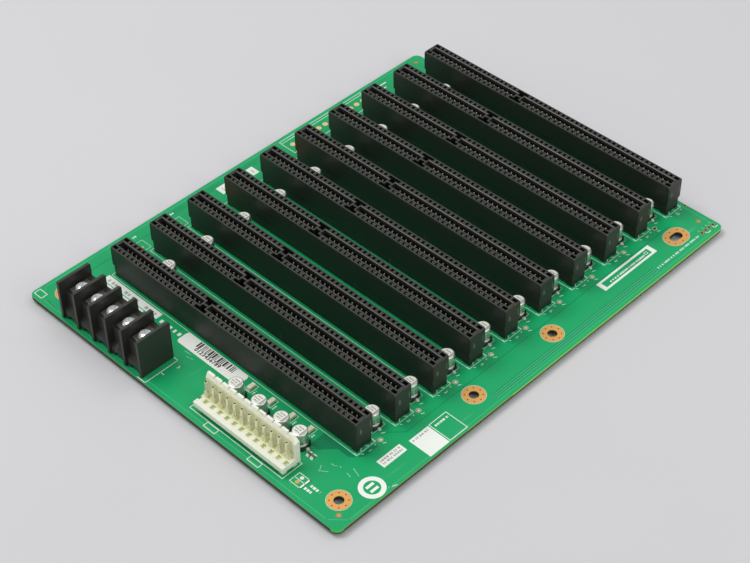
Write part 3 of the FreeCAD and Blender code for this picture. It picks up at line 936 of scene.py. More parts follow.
@dataclass(frozen=True)
class CardSlot:
    """One two-section card slot: moulded housing with its windows, and the sprung contacts. Millimetres
    from the middle of the slot at the board's surface."""
    half_length: float = 69.4
    half_width: float = 4.25
    height: float = 15.3
    standoff: float = 0.8
    waist_height: float = 5.9
    waist_inset: float = 0.42
    foot_length: float = 3.0
    foot_width: float = 1.6
    pitch: float = 2.54
    short_count: int = 18
    long_count: int = 31
    key_pitches: int = 4
    window_length: float = 1.30
    window_inner: float = 2.15
    window_outer: float = 3.65
    card_half_width: float = 1.0
    card_end: float = 3.1
    card_depth: float = 10.3
    ridge_depth: float = 1.9
    mouth_half_width: float = 1.5
    mouth_depth: float = 1.0
    key_wall: float = 0.75
    key_bar: float = 0.4
    key_pocket_gap: float = 1.25
    key_depth: float = 8.0
    end_pocket: tuple[float, float] = (66.4, 68.8)
    lead_in: float = 1.6
    lead_gap: float = 0.25
    lead_height: float = 5.0
    lead_toe: float = 0.4
    edge: float = 0.22
    lip: float = 0.18
    hollow_side: float = 0.55
    hollow_top: float = 0.12
    contact_width: float = 0.55
    contact_thickness: float = 0.22
    contact_line: tuple[Point2, ...] = (
        (3.25, 0.0), (3.25, 4.2), (3.0, 5.6), (1.9, 8.4), (1.12, 10.3), (0.80, 11.4), (0.72, 12.0),
        (0.78, 12.5), (0.95, 12.9), (1.20, 13.12), (1.55, 13.22), (2.05, 13.24), (2.28, 13.42), (2.36, 13.8),
        (2.38, 14.75))
    tail_y: float = 2.9
    tail_width: float = 0.6
    tail_root: float = 0.5
    tail_length: float = 1.3

    @property
    def last(self) -> float:
        """Outer contact position."""
        return (self.short_count + self.long_count - 2 + self.key_pitches) * self.pitch / 2

    @property
    def sections(self) -> tuple[tuple[float, int], tuple[float, int]]:
        """First contact and number of contacts of each section."""
        second = self.last - (self.long_count - 1) * self.pitch
        return (-self.last, self.short_count), (second, self.long_count)

    def contact_places(self) -> list[float]:
        """X of every contact."""
        return [first + k * self.pitch for first, count in self.sections for k in range(count)]

    def card_spans(self) -> list[tuple[float, float]]:
        """X range of the card slot in each section."""
        return [(first - self.card_end, first + (count - 1) * self.pitch + self.card_end)
                for first, count in self.sections]

    def key_span(self) -> tuple[float, float]:
        """Works out where the pockets beside the key lie.

        Returns:
            Their X range.
        """
        (first, count), (second, _) = self.sections
        inset = self.window_length / 2 + self.key_pocket_gap
        return first + (count - 1) * self.pitch + inset, second - inset

    def key_stem(self) -> tuple[float, float]:
        """X range of the stems between the key's walls."""
        left, right = self.card_spans()
        return left[1] + self.key_wall, right[0] - self.key_wall

    def _windows(self) -> list[tuple[float, float]]:
        """X range of every window."""
        half = self.window_length / 2
        return [(x - half, x + half) for x in self.contact_places()]

    def _breaks(self) -> tuple[list[float], list[float], list[float]]:
        """Finds the planes at which the moulding changes.

        Returns:
            Every X, Y and Z.
        """
        xs = {-self.half_length, self.half_length}
        for inset in (self.foot_length, self.waist_inset):
            xs |= {inset - self.half_length, self.half_length - inset}
        for span in [*self._windows(), *self.card_spans(), self.key_span(), self.key_stem(), self.end_pocket,
                     (-self.end_pocket[1], -self.end_pocket[0])]:
            xs |= set(span)
        waist = self.half_width - self.waist_inset
        half = {self.half_width, waist, waist - self.foot_width, self.window_outer, self.window_inner,
                self.card_half_width, self.key_bar}
        ys = half | {-y for y in half}
        depths = (0.0, self.mouth_depth, self.ridge_depth, self.key_depth, self.card_depth)
        zs = {0.0, self.standoff, self.waist_height} | {self.height - depth for depth in depths}
        return distinct(xs), distinct(ys), distinct(zs)

    def _filled(self, x: float, y: float, z: float) -> bool:
        """Whether the moulding has material at a point.

        Args:
            x: along the slot.
            y: across it.
            z: above the board.

        Returns:
            True inside the material.
        """
        side = abs(y)
        waist = self.half_width - self.waist_inset
        end = self.half_length - self.waist_inset
        if z < self.standoff:
            in_foot = self.half_length - self.foot_length < abs(x) < end
            return in_foot and waist - self.foot_width < side < waist
        if z < self.waist_height and (side > waist or abs(x) > end):
            return False
        depth = self.height - z
        in_row = self.window_inner < side < self.window_outer
        in_window = any(a < x < b for a, b in self._windows())
        if in_window and in_row:
            return False
        if in_window and self.card_half_width < side < self.window_inner:
            return not self.ridge_depth < depth < self.card_depth
        if side < self.card_half_width and depth < self.card_depth:
            if any(a < x < b for a, b in self.card_spans()):
                return False
        if depth < self.key_depth:
            if in_row and self.key_span()[0] < x < self.key_span()[1]:
                return False
            if self.key_bar < side < self.window_inner and self.key_stem()[0] < x < self.key_stem()[1]:
                return False
            if in_row and self.end_pocket[0] < abs(x) < self.end_pocket[1]:
                return False
        return True

    def housing(self) -> Mesh:
        """Makes the housing.

        Returns:
            Its mesh.
        """
        work = blocks(*self._breaks(), self._filled)
        half = self.card_half_width
        top = self.height - self.lead_gap
        foot = top - self.lead_height
        for left, _ in self.card_spans():
            ends = ((left, top), (left + self.lead_in, foot + self.lead_toe))
            Maker(mesh=work).loft([[(x, -half, foot), (x, half, foot), (x, half, crest), (x, -half, crest)]
                                   for x, crest in ends])
        for vert in work.verts:
            spot = vert.co / MM
            if spot.z > self.height - SAME and abs(abs(spot.y) - half) < SAME:
                vert.co.y = math.copysign(self.mouth_half_width * MM, spot.y)
        self._round_rim(work)
        self._mark_hollows(work)
        bmesh.ops.recalc_face_normals(work, faces=work.faces)
        return stored(work, "slot_housing")

    def _round_rim(self, work: BMesh) -> None:
        """Rounds the outer upright and upper edges, and the lips of the card slot.

        Args:
            work: the housing's mesh, in metres.
        """
        outer = []
        for edge in work.edges:
            a, b = (v.co / MM for v in edge.verts)
            at_end = min(abs(a.x), abs(b.x)) > self.half_length - SAME
            at_side = min(abs(a.y), abs(b.y)) > self.half_width - SAME
            upper = min(a.z, b.z) > self.height - SAME
            if (at_end and at_side) or (upper and (at_end or at_side)):
                outer.append(edge)
        round_edges(work, outer, self.edge, 2)
        lips = []
        for edge in work.edges:
            a, b = (v.co / MM for v in edge.verts)
            level = min(a.z, b.z) > self.height - SAME and abs(a.y - b.y) < SAME
            if level and abs(abs(a.y) - self.mouth_half_width) < SAME and len(edge.link_faces) == 2:
                if abs(edge.calc_face_angle(0.0)) > 0.5:
                    lips.append(edge)
        round_edges(work, lips, self.lip, 1)

    def _mark_hollows(self, work: BMesh) -> None:
        """Gives the faces inside the moulding the darker hollow finish, painted shade for the windows and the
        card slot.

        Args:
            work: the housing's mesh, in metres.
        """
        for face in work.faces:
            spot = face.calc_center_median() / MM
            side = abs(spot.y) < self.half_width - self.hollow_side
            end = abs(spot.x) < self.half_length - self.hollow_side
            inner = side and end and spot.z < self.height - self.hollow_top
            if inner and face.material_index != Skin.RIM.value:
                face.material_index = Skin.HOLLOW.value

    def _contact_outline(self, side: Side) -> list[Point2]:
        """Works out the outline of one contact from its centre line.

        Args:
            side: side of the slot that it stands on.

        Returns:
            The (y, z) points, anticlockwise seen from +X on the back side.
        """
        line = self.contact_line
        half = self.contact_thickness / 2
        near, far = [], []
        for i, (y, z) in enumerate(line):
            along = Vector(line[min(len(line) - 1, i + 1)]) - Vector(line[max(0, i - 1)])
            along = along.normalized() * half
            near.append((y + along.y, z - along.x))
            far.append((y - along.y, z + along.x))
        return [(y * side.value, z) for y, z in near + far[::-1]]

    def contacts(self) -> Mesh:
        """Makes both rows of sprung contacts.

        Returns:
            Their mesh.
        """
        maker = Maker()
        half = self.contact_width / 2
        for side in Side:
            outline = self._contact_outline(side)
            for x in self.contact_places():
                maker.extrusion_x(outline, x - half, x + half)
        return maker.data("slot_contacts")

    def tails(self, under: float) -> Mesh:
        """Makes the soldered tails of all contacts but those that the solids show.

        Args:
            under: height of the board's underside.

        Returns:
            Their mesh.
        """
        maker = Maker()
        half = self.tail_width / 2
        tip = under - self.tail_length
        for side in Side:
            y = self.tail_y * side.value
            for x in self.contact_places():
                solder_cone(maker, (x, y), under)
                if abs(abs(x) - self.last) > SAME or x * y > 0:
                    maker.box((x - half, y - half, tip), (x + half, y + half, under - self.tail_root))
        return maker.data("slot_tails")


def round_edges(work: BMesh, edges: list[BMEdge], width: float,
                segments: int) -> None:
    """Rounds edges of a housing by a width in millimetres, and gives them the lighter rim finish, a painted
    highlight.
    """
    bmesh.ops.bevel(work, geom=edges, offset=width * MM, segments=segments, affect="EDGES", profile=0.5,
                    material=Skin.RIM.value)


def solder_cone(maker: Maker, centre: Point2, under: float) -> None:
    """Adds the cone of solder round a tail, down from the board's underside."""
    profile = ((0.42, 1.0), (0.52, 0.55), (0.66, 0.25), (0.95, 0.0))
    maker.lathe(centre, [(radius, under - drop) for radius, drop in profile], 10)


def distinct(values: Iterable[float]) -> list[float]:
    """Sorts values and drops those that repeat.

    Args:
        values: the values.

    Returns:
        The values kept, in order.
    """
    kept: list[float] = []
    for value in sorted(values):
        if not kept or value - kept[-1] > 1e-4:
            kept.append(value)
    return kept


def blocks(xs: Sequence[float], ys: Sequence[float], zs: Sequence[float],
           filled: Callable[[float, float, float], bool]) -> BMesh:
    """Skins a moulding that changes only at given planes.

    Args:
        xs: planes across X.
        ys: planes across Y.
        zs: planes across Z.
        filled: whether there is material at a point.

    Returns:
        The skin of all filled cells, in metres.
    """
    cells = [[(a + b) / 2 for a, b in zip(axis, axis[1:])] for axis in (xs, ys, zs)]
    solid = {(i, j, k) for i, x in enumerate(cells[0]) for j, y in enumerate(cells[1])
             for k, z in enumerate(cells[2]) if filled(x, y, z)}
    work = bmesh.new()
    found: dict[tuple[int, int, int], BMVert] = {}

    def corner(i: int, j: int, k: int) -> BMVert:
        """Makes the vertex at a crossing of planes once.

        Args:
            i: number of the plane across X.
            j: number of the plane across Y.
            k: number of the plane across Z.

        Returns:
            The vertex.
        """
        if (i, j, k) not in found:
            found[i, j, k] = work.verts.new((xs[i] * MM, ys[j] * MM, zs[k] * MM))
        return found[i, j, k]

    sides = (((1, 0, 0), ((1, 0, 0), (1, 1, 0), (1, 1, 1), (1, 0, 1))),
             ((-1, 0, 0), ((0, 0, 0), (0, 0, 1), (0, 1, 1), (0, 1, 0))),
             ((0, 1, 0), ((0, 1, 0), (0, 1, 1), (1, 1, 1), (1, 1, 0))),
             ((0, -1, 0), ((0, 0, 0), (1, 0, 0), (1, 0, 1), (0, 0, 1))),
             ((0, 0, 1), ((0, 0, 1), (1, 0, 1), (1, 1, 1), (0, 1, 1))),
             ((0, 0, -1), ((0, 0, 0), (0, 1, 0), (1, 1, 0), (1, 0, 0))))
    for i, j, k in solid:
        for (di, dj, dk), loop in sides:
            if (i + di, j + dj, k + dk) not in solid:
                work.faces.new([corner(i + a, j + b, k + c) for a, b, c in loop])
    return work


@dataclass
class CardSlots:
    """The ten card slots."""
    layout: Layout
    finishes: Finishes
    slot: CardSlot = field(default_factory=CardSlot)

    def build(self) -> None:
        """Places a housing, its contacts and their tails on every slot."""
        finishes, top = self.finishes, self.layout.top
        housing = self.slot.housing()
        contacts = self.slot.contacts()
        tails = self.slot.tails(self.layout.bottom - top)
        for index in range(self.layout.slot_count):
            label = f"slot_{index + 1:02d}"
            centre = middle(*box_mm(label + "_housing"))
            looks = [finishes.slot, finishes.hollow, finishes.rim]
            body = place(label + "_moulding", housing, looks, Slot.PLASTIC, [label + "_housing"])
            springs = place(label + "_springs", contacts, [finishes.contact], Slot.CONTACT,
                            [label + "_contacts"], 50.0)
            ends = place(label + "_tails", tails, [finishes.solder], Slot.TINNED, [], SMOOTH_ANGLE)
            for piece in (body, springs, ends):
                piece.location = Vector((centre.x, centre.y, top)) * MM


# ---------------------------------------------------------------- capacitors and chips

@dataclass(frozen=True)
class Capacitor:
    """A surface-mount electrolytic capacitor: can, base and leads. Millimetres from the middle of its foot,
    where each maker is anchored."""
    radius: float = 3.1
    height: float = 7.7
    rim: float = 0.42
    rim_drop: float = 0.04
    crown_rise: float = 0.03
    base: float = 3.3
    base_height: float = 1.1
    chamfer: float = 1.3
    groove: float = 2.3
    segments: int = 40
    mark_chord: float = 1.57
    mark_margin: float = 0.08
    mark_steps: int = 18
    mark_rise: float = 0.015
    chord_width: float = 0.2
    chord_rise: float = 0.02
    rows: tuple[Point2, ...] = ((1.15, 1.5), (0.0, 2.2), (-1.15, 1.5))
    figure_span: tuple[float, float] = (0.25, 0.5)
    figure_height: float = 0.64
    figure_rise: float = 0.01
    figure_gap: float = 0.22
    figure_margin: tuple[float, float] = (0.4, 0.3)
    lead_width: float = 0.8
    lead_reach: float = 0.85
    lead_thickness: float = 0.3
    lead_tuck: float = 0.2
    solder_steps: tuple[Point3, Point3] = ((0.85, 0.70, 0.0), (0.72, 0.58, 0.45))

    def can(self, maker: Maker) -> None:
        """Adds the can, crimped above its base and rounded at its top.

        Args:
            maker: mesh to add to.
        """
        g, h = self.groove, self.height
        profile = [(0.45, self.base_height), (0.1, self.base_height), (0.0, self.base_height + 0.15),
                   (0.0, g - 0.45), (0.12, g - 0.28), (0.32, g), (0.12, g + 0.28), (0.0, g + 0.45),
                   (0.0, h - 0.55), (0.05, h - 0.30), (0.18, h - 0.12), (self.rim, h - self.rim_drop)]
        maker.lathe((0, 0), [(self.radius - inset, z) for inset, z in profile], self.segments)

    def crown(self, maker: Maker) -> None:
        """Adds the flat top inside the rounded rim."""
        r, top = self.radius - self.rim, self.height - self.crown_rise
        maker.lathe((0, 0), [(r, top - self.crown_rise), (r - 0.05, top)], self.segments)

    @property
    def _mark_radius(self) -> float:
        """Radius of the printed segment."""
        return self.radius - self.rim - self.mark_margin

    def mark(self, maker: Maker) -> None:
        """Adds the printed segment that shows which lead is negative.

        Args:
            maker: mesh to add to.
        """
        r, steps, top = self._mark_radius, self.mark_steps, self.height - self.crown_rise
        half = math.acos(self.mark_chord / r)
        arc = angles(steps, -half, 2 * half * steps / (steps - 1))
        maker.prism([(r * math.cos(a), r * math.sin(a)) for a in arc], top, top + self.mark_rise)

    def chord(self, maker: Maker) -> None:
        """Adds the dark line along the mark's straight side.

        Args:
            maker: mesh to add to.
        """
        half, side = math.sqrt(self._mark_radius ** 2 - self.mark_chord ** 2), self.chord_width / 2
        top = self.height - self.crown_rise
        maker.box((self.mark_chord - side, -half, top),
                  (self.mark_chord + side, half, top + self.chord_rise))

    def figures(self, maker: Maker) -> None:
        """Adds three rows of small marks on the top.

        Args:
            maker: mesh to add to.
        """
        draw = random.Random(5)
        half, top = self.figure_height / 2, self.height - self.crown_rise
        to_mark, to_end = self.figure_margin
        for row, reach in self.rows:
            x = -reach
            while x < min(reach, self.mark_chord - to_mark) - to_end:
                span = draw.uniform(*self.figure_span)
                maker.box((x, row - half, top), (x + span, row + half, top + self.figure_rise))
                x += span + self.figure_gap

    def seat(self, maker: Maker) -> None:
        """Adds the base: a plate with two corners cut off."""
        b, c = self.base, self.base - self.chamfer
        maker.prism([(-b, -b), (c, -b), (b, -c), (b, c), (c, b), (-b, b)], 0.0, self.base_height)

    def leads(self, maker: Maker) -> None:
        """Adds the two flat leads in their solder.

        Args:
            maker: mesh to add to.
        """
        half = self.lead_width / 2
        for side in (-1, 1):
            near, far = sorted((side * (self.base - self.lead_tuck), side * (self.base + self.lead_reach)))
            maker.box((near, -half, 0.0), (far, half, self.lead_thickness))
            tip = side * (self.base + self.lead_reach * 0.6)
            maker.loft([[(tip + u * length, v * width, z) for u, v in circle((0, 0), 1.0, 14)]
                        for length, width, z in self.solder_steps])


@dataclass
class Passives:
    """Capacitors and chips."""
    layout: Layout
    finishes: Finishes
    part: Capacitor = field(default_factory=Capacitor)
    chip_end: float = 0.6
    resistor_end: float = 0.4
    wrap: float = 0.03
    fillet: float = 0.1
    fillet_reach: float = 0.45
    fillet_share: float = 0.7
    fillet_toe: float = 0.06

    def build(self) -> None:
        """Builds every capacitor and dresses the chips."""
        looks, part = self.finishes, self.part
        jobs = ((part.can, "capacitor_shells", looks.can, Slot.CAN, ["capacitor_cans"], SMOOTH_ANGLE),
                (part.crown, "capacitor_crowns", looks.can_top, Slot.CAN, [], 30.0),
                (part.seat, "capacitor_seats", looks.base, Slot.BASE, ["capacitor_bases"], 0.0),
                (part.leads, "capacitor_leads", looks.solder, Slot.TINNED, [], 50.0),
                (part.mark, "capacitor_marks", looks.faint_ink, Slot.CAN, [], 0.0),
                (part.chord, "capacitor_mark_lines", looks.ink, Slot.CAN, [], 0.0),
                (part.figures, "capacitor_figures", looks.mark_ink, Slot.CAN, [], 0.0))
        spots = [middle(*solid) for solid in solids_of("capacitor_cans")]
        for add, name, look, slot, nodes, smooth in jobs:
            maker = Maker()
            for spot in spots:
                maker.anchor = Vector((spot.x, spot.y, self.layout.top))
                add(maker)
            maker.done(name, [look], slot, nodes, smooth)
        soften(dress("chip_capacitors", looks.chip), 0.15)
        dress("chip_resistors", looks.resistor)
        self._chip_ends("chip_capacitors", self.chip_end)
        self._chip_ends("chip_resistors", self.resistor_end)

    def _chip_ends(self, node: str, length: float) -> None:
        """Adds the tinned ends of a row of chips, each in a small fillet of solder.

        Args:
            node: CAD node of the chips.
            length: length of each end.
        """
        maker = Maker()
        lift, inset = self.wrap, self.fillet
        for low, high in solids_of(node):
            rise = (high.z - low.z) * self.fillet_share
            for side in (-1, 1):
                outer = low.y if side < 0 else high.y
                near, far = sorted((outer + side * lift, outer - side * length))
                maker.box((low.x - lift, near, low.z), (high.x + lift, far, high.z + lift))
                maker.loft([[(low.x - spread, y, low.z), (high.x + spread, y, low.z),
                             (high.x - inset, y, low.z + z), (low.x + inset, y, low.z + z)]
                            for spread, y, z in ((inset, outer, rise),
                                                 (0.0, outer + side * self.fillet_reach, self.fillet_toe))])
        maker.done(node.replace("chip_", "chip_ends_"), [self.finishes.solder], Slot.TINNED)


def solids_of(node: str) -> list[tuple[Vector, Vector]]:
    """Boxes of the separate solids in a CAD node, in millimetres.

    Args:
        node: name of the CAD node.

    Returns:
        Lowest and highest corner of each solid.
    """
    work = joined(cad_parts[node].data)
    left = set(work.verts)
    boxes = []
    while left:
        seed = left.pop()
        group, queue = {seed}, [seed]
        while queue:
            for edge in queue.pop().link_edges:
                for vert in edge.verts:
                    if vert in left:
                        left.discard(vert)
                        group.add(vert)
                        queue.append(vert)
        points = [v.co / MM for v in group]
        low = Vector([min(p[i] for p in points) for i in range(3)])
        high = Vector([max(p[i] for p in points) for i in range(3)])
        boxes.append((low, high))
    work.free()
    return sorted(boxes, key=lambda pair: (pair[0].x, pair[0].y))


# ---------------------------------------------------------------- power inputs

def carve(body: Mesh, tool: Mesh) -> Mesh:
    """Cuts one closed mesh out of another.

    Args:
        body: the mesh to cut.
        tool: the mesh to take away; it is deleted.

    Returns:
        The cut mesh.
    """
    holders = [in_scene(mesh.name, mesh) for mesh in (body, tool)]
    cut = holders[0].modifiers.new("cut", "BOOLEAN")
    cut.operation = "DIFFERENCE"
    cut.solver = "EXACT"
    cut.object = holders[1]
    made = evaluated(holders[0])
    for holder in holders:
        bpy.data.objects.remove(holder)
    bpy.data.meshes.remove(tool)
    return made


@dataclass(frozen=True)
class TerminalScrew:
    """A pan-head screw with a cross recess that runs into a straight slot. Millimetres from its seat."""
    head_radius: float = 2.8
    head_height: float = 1.6
    shank_radius: float = 1.5
    shank_length: float = 7.0
    slot_width: float = 0.75
    slot_depth: float = 0.95
    cross_length: float = 2.9
    segments: int = 36

    def mesh(self) -> Mesh:
        """Makes the screw round its own axis.

        Returns:
            Its mesh.
        """
        r, h = self.head_radius, self.head_height
        head = [(0.1, 0.0), (0.0, 0.075), (0.03, 0.30), (0.22, 0.55), (0.62, 0.77), (1.2, 0.92), (1.95, 1.0)]
        profile = [(self.shank_radius, -self.shank_length), (self.shank_radius, 0)]
        maker = Maker()
        maker.lathe((0, 0), profile + [(r - inset, h * share) for inset, share in head], self.segments)
        half, cross, reach = self.slot_width / 2, self.cross_length / 2, r + 1
        recess = Maker()
        recess.prism([(-reach, -half), (-cross, -half), (-half, -half), (-half, -cross), (half, -cross),
                      (half, -half), (reach, -half), (reach, half), (half, half), (half, cross),
                      (-half, cross), (-half, half), (-reach, half)], h - self.slot_depth, h + 1)
        return carve(maker.data("terminal_screw"), recess.data("driver_recess"))


@dataclass
class PowerInputs:
    """The barrier terminal block and the pin header."""
    layout: Layout
    finishes: Finishes
    screw: TerminalScrew = field(default_factory=TerminalScrew)
    turns: tuple[float, ...] = (38.0, -52.0, 12.0, 74.0, -20.0)
    header_floor: float = 4.6
    header_edge: float = 0.16
    block_edge: float = 0.25
    plate_edge: float = 0.18
    pin_edge: float = 0.12
    end_wall: float = 0.91
    pillar: float = 2.4
    pocket: float = 2.0
    pocket_depth: float = 1.2
    pocket_front: float = 2.2
    pocket_gap: float = 0.32
    spill: float = 1.0
    tip_reach: float = 0.05

    def build(self) -> None:
        """Dresses the block and the header, and sets the screws."""
        looks = self.finishes
        for node, look, edge in (("terminal_block_body", looks.block, self.block_edge),
                                 ("terminal_plates", looks.nickel, self.plate_edge),
                                 ("power_header_pins", looks.pin, self.pin_edge)):
            soften(dress(node, look), edge)
        self._header()
        self._screws()
        self._solder()

    def _solder(self) -> None:
        """Adds the solder round the pins of the header and the tails of the terminals, under the board."""
        maker, under = Maker(), self.layout.bottom
        for solid in solids_of("power_header_pins"):
            solder_cone(maker, middle(*solid).xy, under)
        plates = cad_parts["terminal_plates"].data
        tips = [vert.co.y / MM for vert in plates.vertices if vert.co.z < self.tip_reach * MM]
        row = sum(tips) / len(tips)
        for solid in solids_of("terminal_plates"):
            solder_cone(maker, (middle(*solid).x, row), under)
        maker.done("input_solder", [self.finishes.solder], Slot.TINNED, [], SMOOTH_ANGLE)

    def _header(self) -> None:
        """Replaces the header's body by one whose closed end is low in front of its pillar."""
        node = "power_header_body"
        low, high = box_mm(node)
        floor = self.layout.top + self.header_floor
        far = high.x - self.pocket_gap
        front = low.y + self.pocket_front
        slope = ((high.x - self.end_wall, low.y - self.spill, floor),
                 (high.x + self.spill, high.y - self.pillar, high.z + self.spill))
        pocket = ((far - self.pocket, front, floor - self.pocket_depth),
                  (far, front + self.pocket, floor + self.spill / 2))
        body = stored(joined(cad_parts[node].data), "header_moulding")
        for corners in (slope, pocket):
            tool = Maker()
            tool.box(*corners)
            body = carve(body, tool.data("header_cut"))
        body.materials.clear()
        soften(place("header_moulding", body, [self.finishes.header], Slot.HEADER, [node]), self.header_edge)

    def _screws(self) -> None:
        """Sets a screw on each plate, turned as it was tightened."""
        mesh = self.screw.mesh()
        seat = box_mm("terminal_plates")[1].z
        pattern = bmesh.new()
        for solid, turn in zip(solids_of("terminal_screws"), self.turns):
            copy = mesh.copy()
            centre = middle(*solid)
            spot = Matrix.Translation(Vector((centre.x, centre.y, seat)) * MM)
            copy.transform(spot @ Matrix.Rotation(math.radians(turn), 4, "Z"))
            pattern.from_mesh(copy)
            bpy.data.meshes.remove(copy)
        made = stored(pattern, "terminal_screw_set")
        place("terminal_screw_set", made, [self.finishes.zinc], Slot.NICKEL, ["terminal_screws"], 38.0)


# ---------------------------------------------------------------- board and legends

class Ink:
    """Thin printed or plated shapes on the board's surface, collected into one piece."""
    DASH_SPAN = (0.35, 0.8)
    DASH_STRETCH = 1.4
    DASH_GAPS = (0.35, 0.35, 0.9)
    FIGURE_SIZE = 1.4

    def __init__(self, anchor: Vector, thickness: float, base: float = 0.0) -> None:
        """Starts an empty layer.

        Args:
            anchor: point in millimetres that coordinates are measured from.
            thickness: height of the layer.
            base: height at which it starts.
        """
        self.maker = Maker(anchor)
        self.z0 = base
        self.z1 = base + thickness

    def shape(self, outline: Sequence[Point2]) -> None:
        """Adds a filled shape over an anticlockwise outline."""
        self.maker.prism(outline, self.z0, self.z1)

    def fill(self, *areas: Area) -> None:
        """Adds filled rectangles, each from its (x0, x1, y0, y1)."""
        for x0, x1, y0, y1 in areas:
            self.shape([(x0, y0), (x1, y0), (x1, y1), (x0, y1)])

    def line(self, width: float, *ends: Area) -> None:
        """Adds straight lines.

        Args:
            width: their width.
            ends: the (x0, y0, x1, y1) of each.
        """
        for x0, y0, x1, y1 in ends:
            start, stop = Vector((x0, y0)), Vector((x1, y1))
            along = (stop - start).normalized() * width / 2
            side = Vector((-along.y, along.x))
            start, stop = start - along, stop + along
            self.shape([tuple(p) for p in (start - side, stop - side, stop + side, start + side)])

    def frame(self, width: float, *areas: Area) -> None:
        """Adds rectangular outlines, whose lines lie inside the area.

        Args:
            width: width of the lines.
            areas: the (x0, x1, y0, y1) of each.
        """
        for x0, x1, y0, y1 in areas:
            self.band(*([(x0 + w, y0 + w), (x1 - w, y0 + w), (x1 - w, y1 - w), (x0 + w, y1 - w)]
                        for w in (0.0, width)))

    def band(self, outer: Sequence[Point2], inner: Sequence[Point2]) -> None:
        """Adds the band between two outlines that have the same number of points."""
        levels = ((outer, self.z0), (outer, self.z1), (inner, self.z1), (inner, self.z0))
        self.maker.loft([[(x, y, z) for x, y in outline] for outline, z in levels], closed=True)

    def ring(self, centre: Point2, inner: float, outer: float, stretch: float = 0.0, count: int = 36) -> None:
        """Adds a ring, stretched along Y if asked."""
        self.band(stadium(centre, outer, stretch, count), stadium(centre, inner, stretch, count))

    def disc(self, centre: Point2, radius: float, count: int = 16) -> None:
        """Adds a disc."""
        self.shape(circle(centre, radius, count))

    def dashes(self, start: Point2, length: float, height: float, seed: int, upright: bool = False) -> None:
        """Adds a row of short marks of uneven length.

        Args:
            start: lower corner of the row.
            length: length of the row.
            height: height of the marks.
            seed: seed of the marks' lengths.
            upright: whether the row runs along Y.
        """
        draw = random.Random(seed)
        (x, y), at = start, 0.0
        while at < length:
            span = min(draw.uniform(*self.DASH_SPAN) * height * self.DASH_STRETCH, length - at)
            if upright:
                self.fill((x, x + height, y + at, y + at + span))
            else:
                self.fill((x + at, x + at + span, y, y + height))
            at += span + height * draw.choice(self.DASH_GAPS)

    def number(self, text: str, centre: Point2, height: float, weight: float = 0.015) -> None:
        """Adds plain figures.

        Args:
            text: the figures.
            centre: their middle.
            height: their height.
            weight: share of the height by which each stroke is thickened.
        """
        curve = bpy.data.curves.new("figures", "FONT")
        curve.body = text
        curve.size = height * self.FIGURE_SIZE
        curve.align_x = curve.align_y = "CENTER"
        curve.offset = height * weight
        curve.resolution_u = 3
        curve.extrude = (self.z1 - self.z0) / 2
        holder = in_scene("figures", curve)
        made = evaluated(holder)
        bpy.data.objects.remove(holder)
        bpy.data.curves.remove(curve)
        spot = self.maker.anchor + Vector((centre[0], centre[1], (self.z0 + self.z1) / 2))
        made.transform(Matrix.Translation(spot * MM) @ Matrix.Diagonal((MM, MM, MM, 1.0)))
        self.maker.mesh.from_mesh(made)
        bpy.data.meshes.remove(made)

    def done(self, name: str, finish: Material, slot: Slot) -> None:
        """Turns the layer into a piece with a finish."""
        self.maker.done(name, [finish], slot)


@dataclass(frozen=True)
class Fixing:
    """A mounting hole in the board."""
    x: float
    y: float
    stretch: float
    ringed: bool


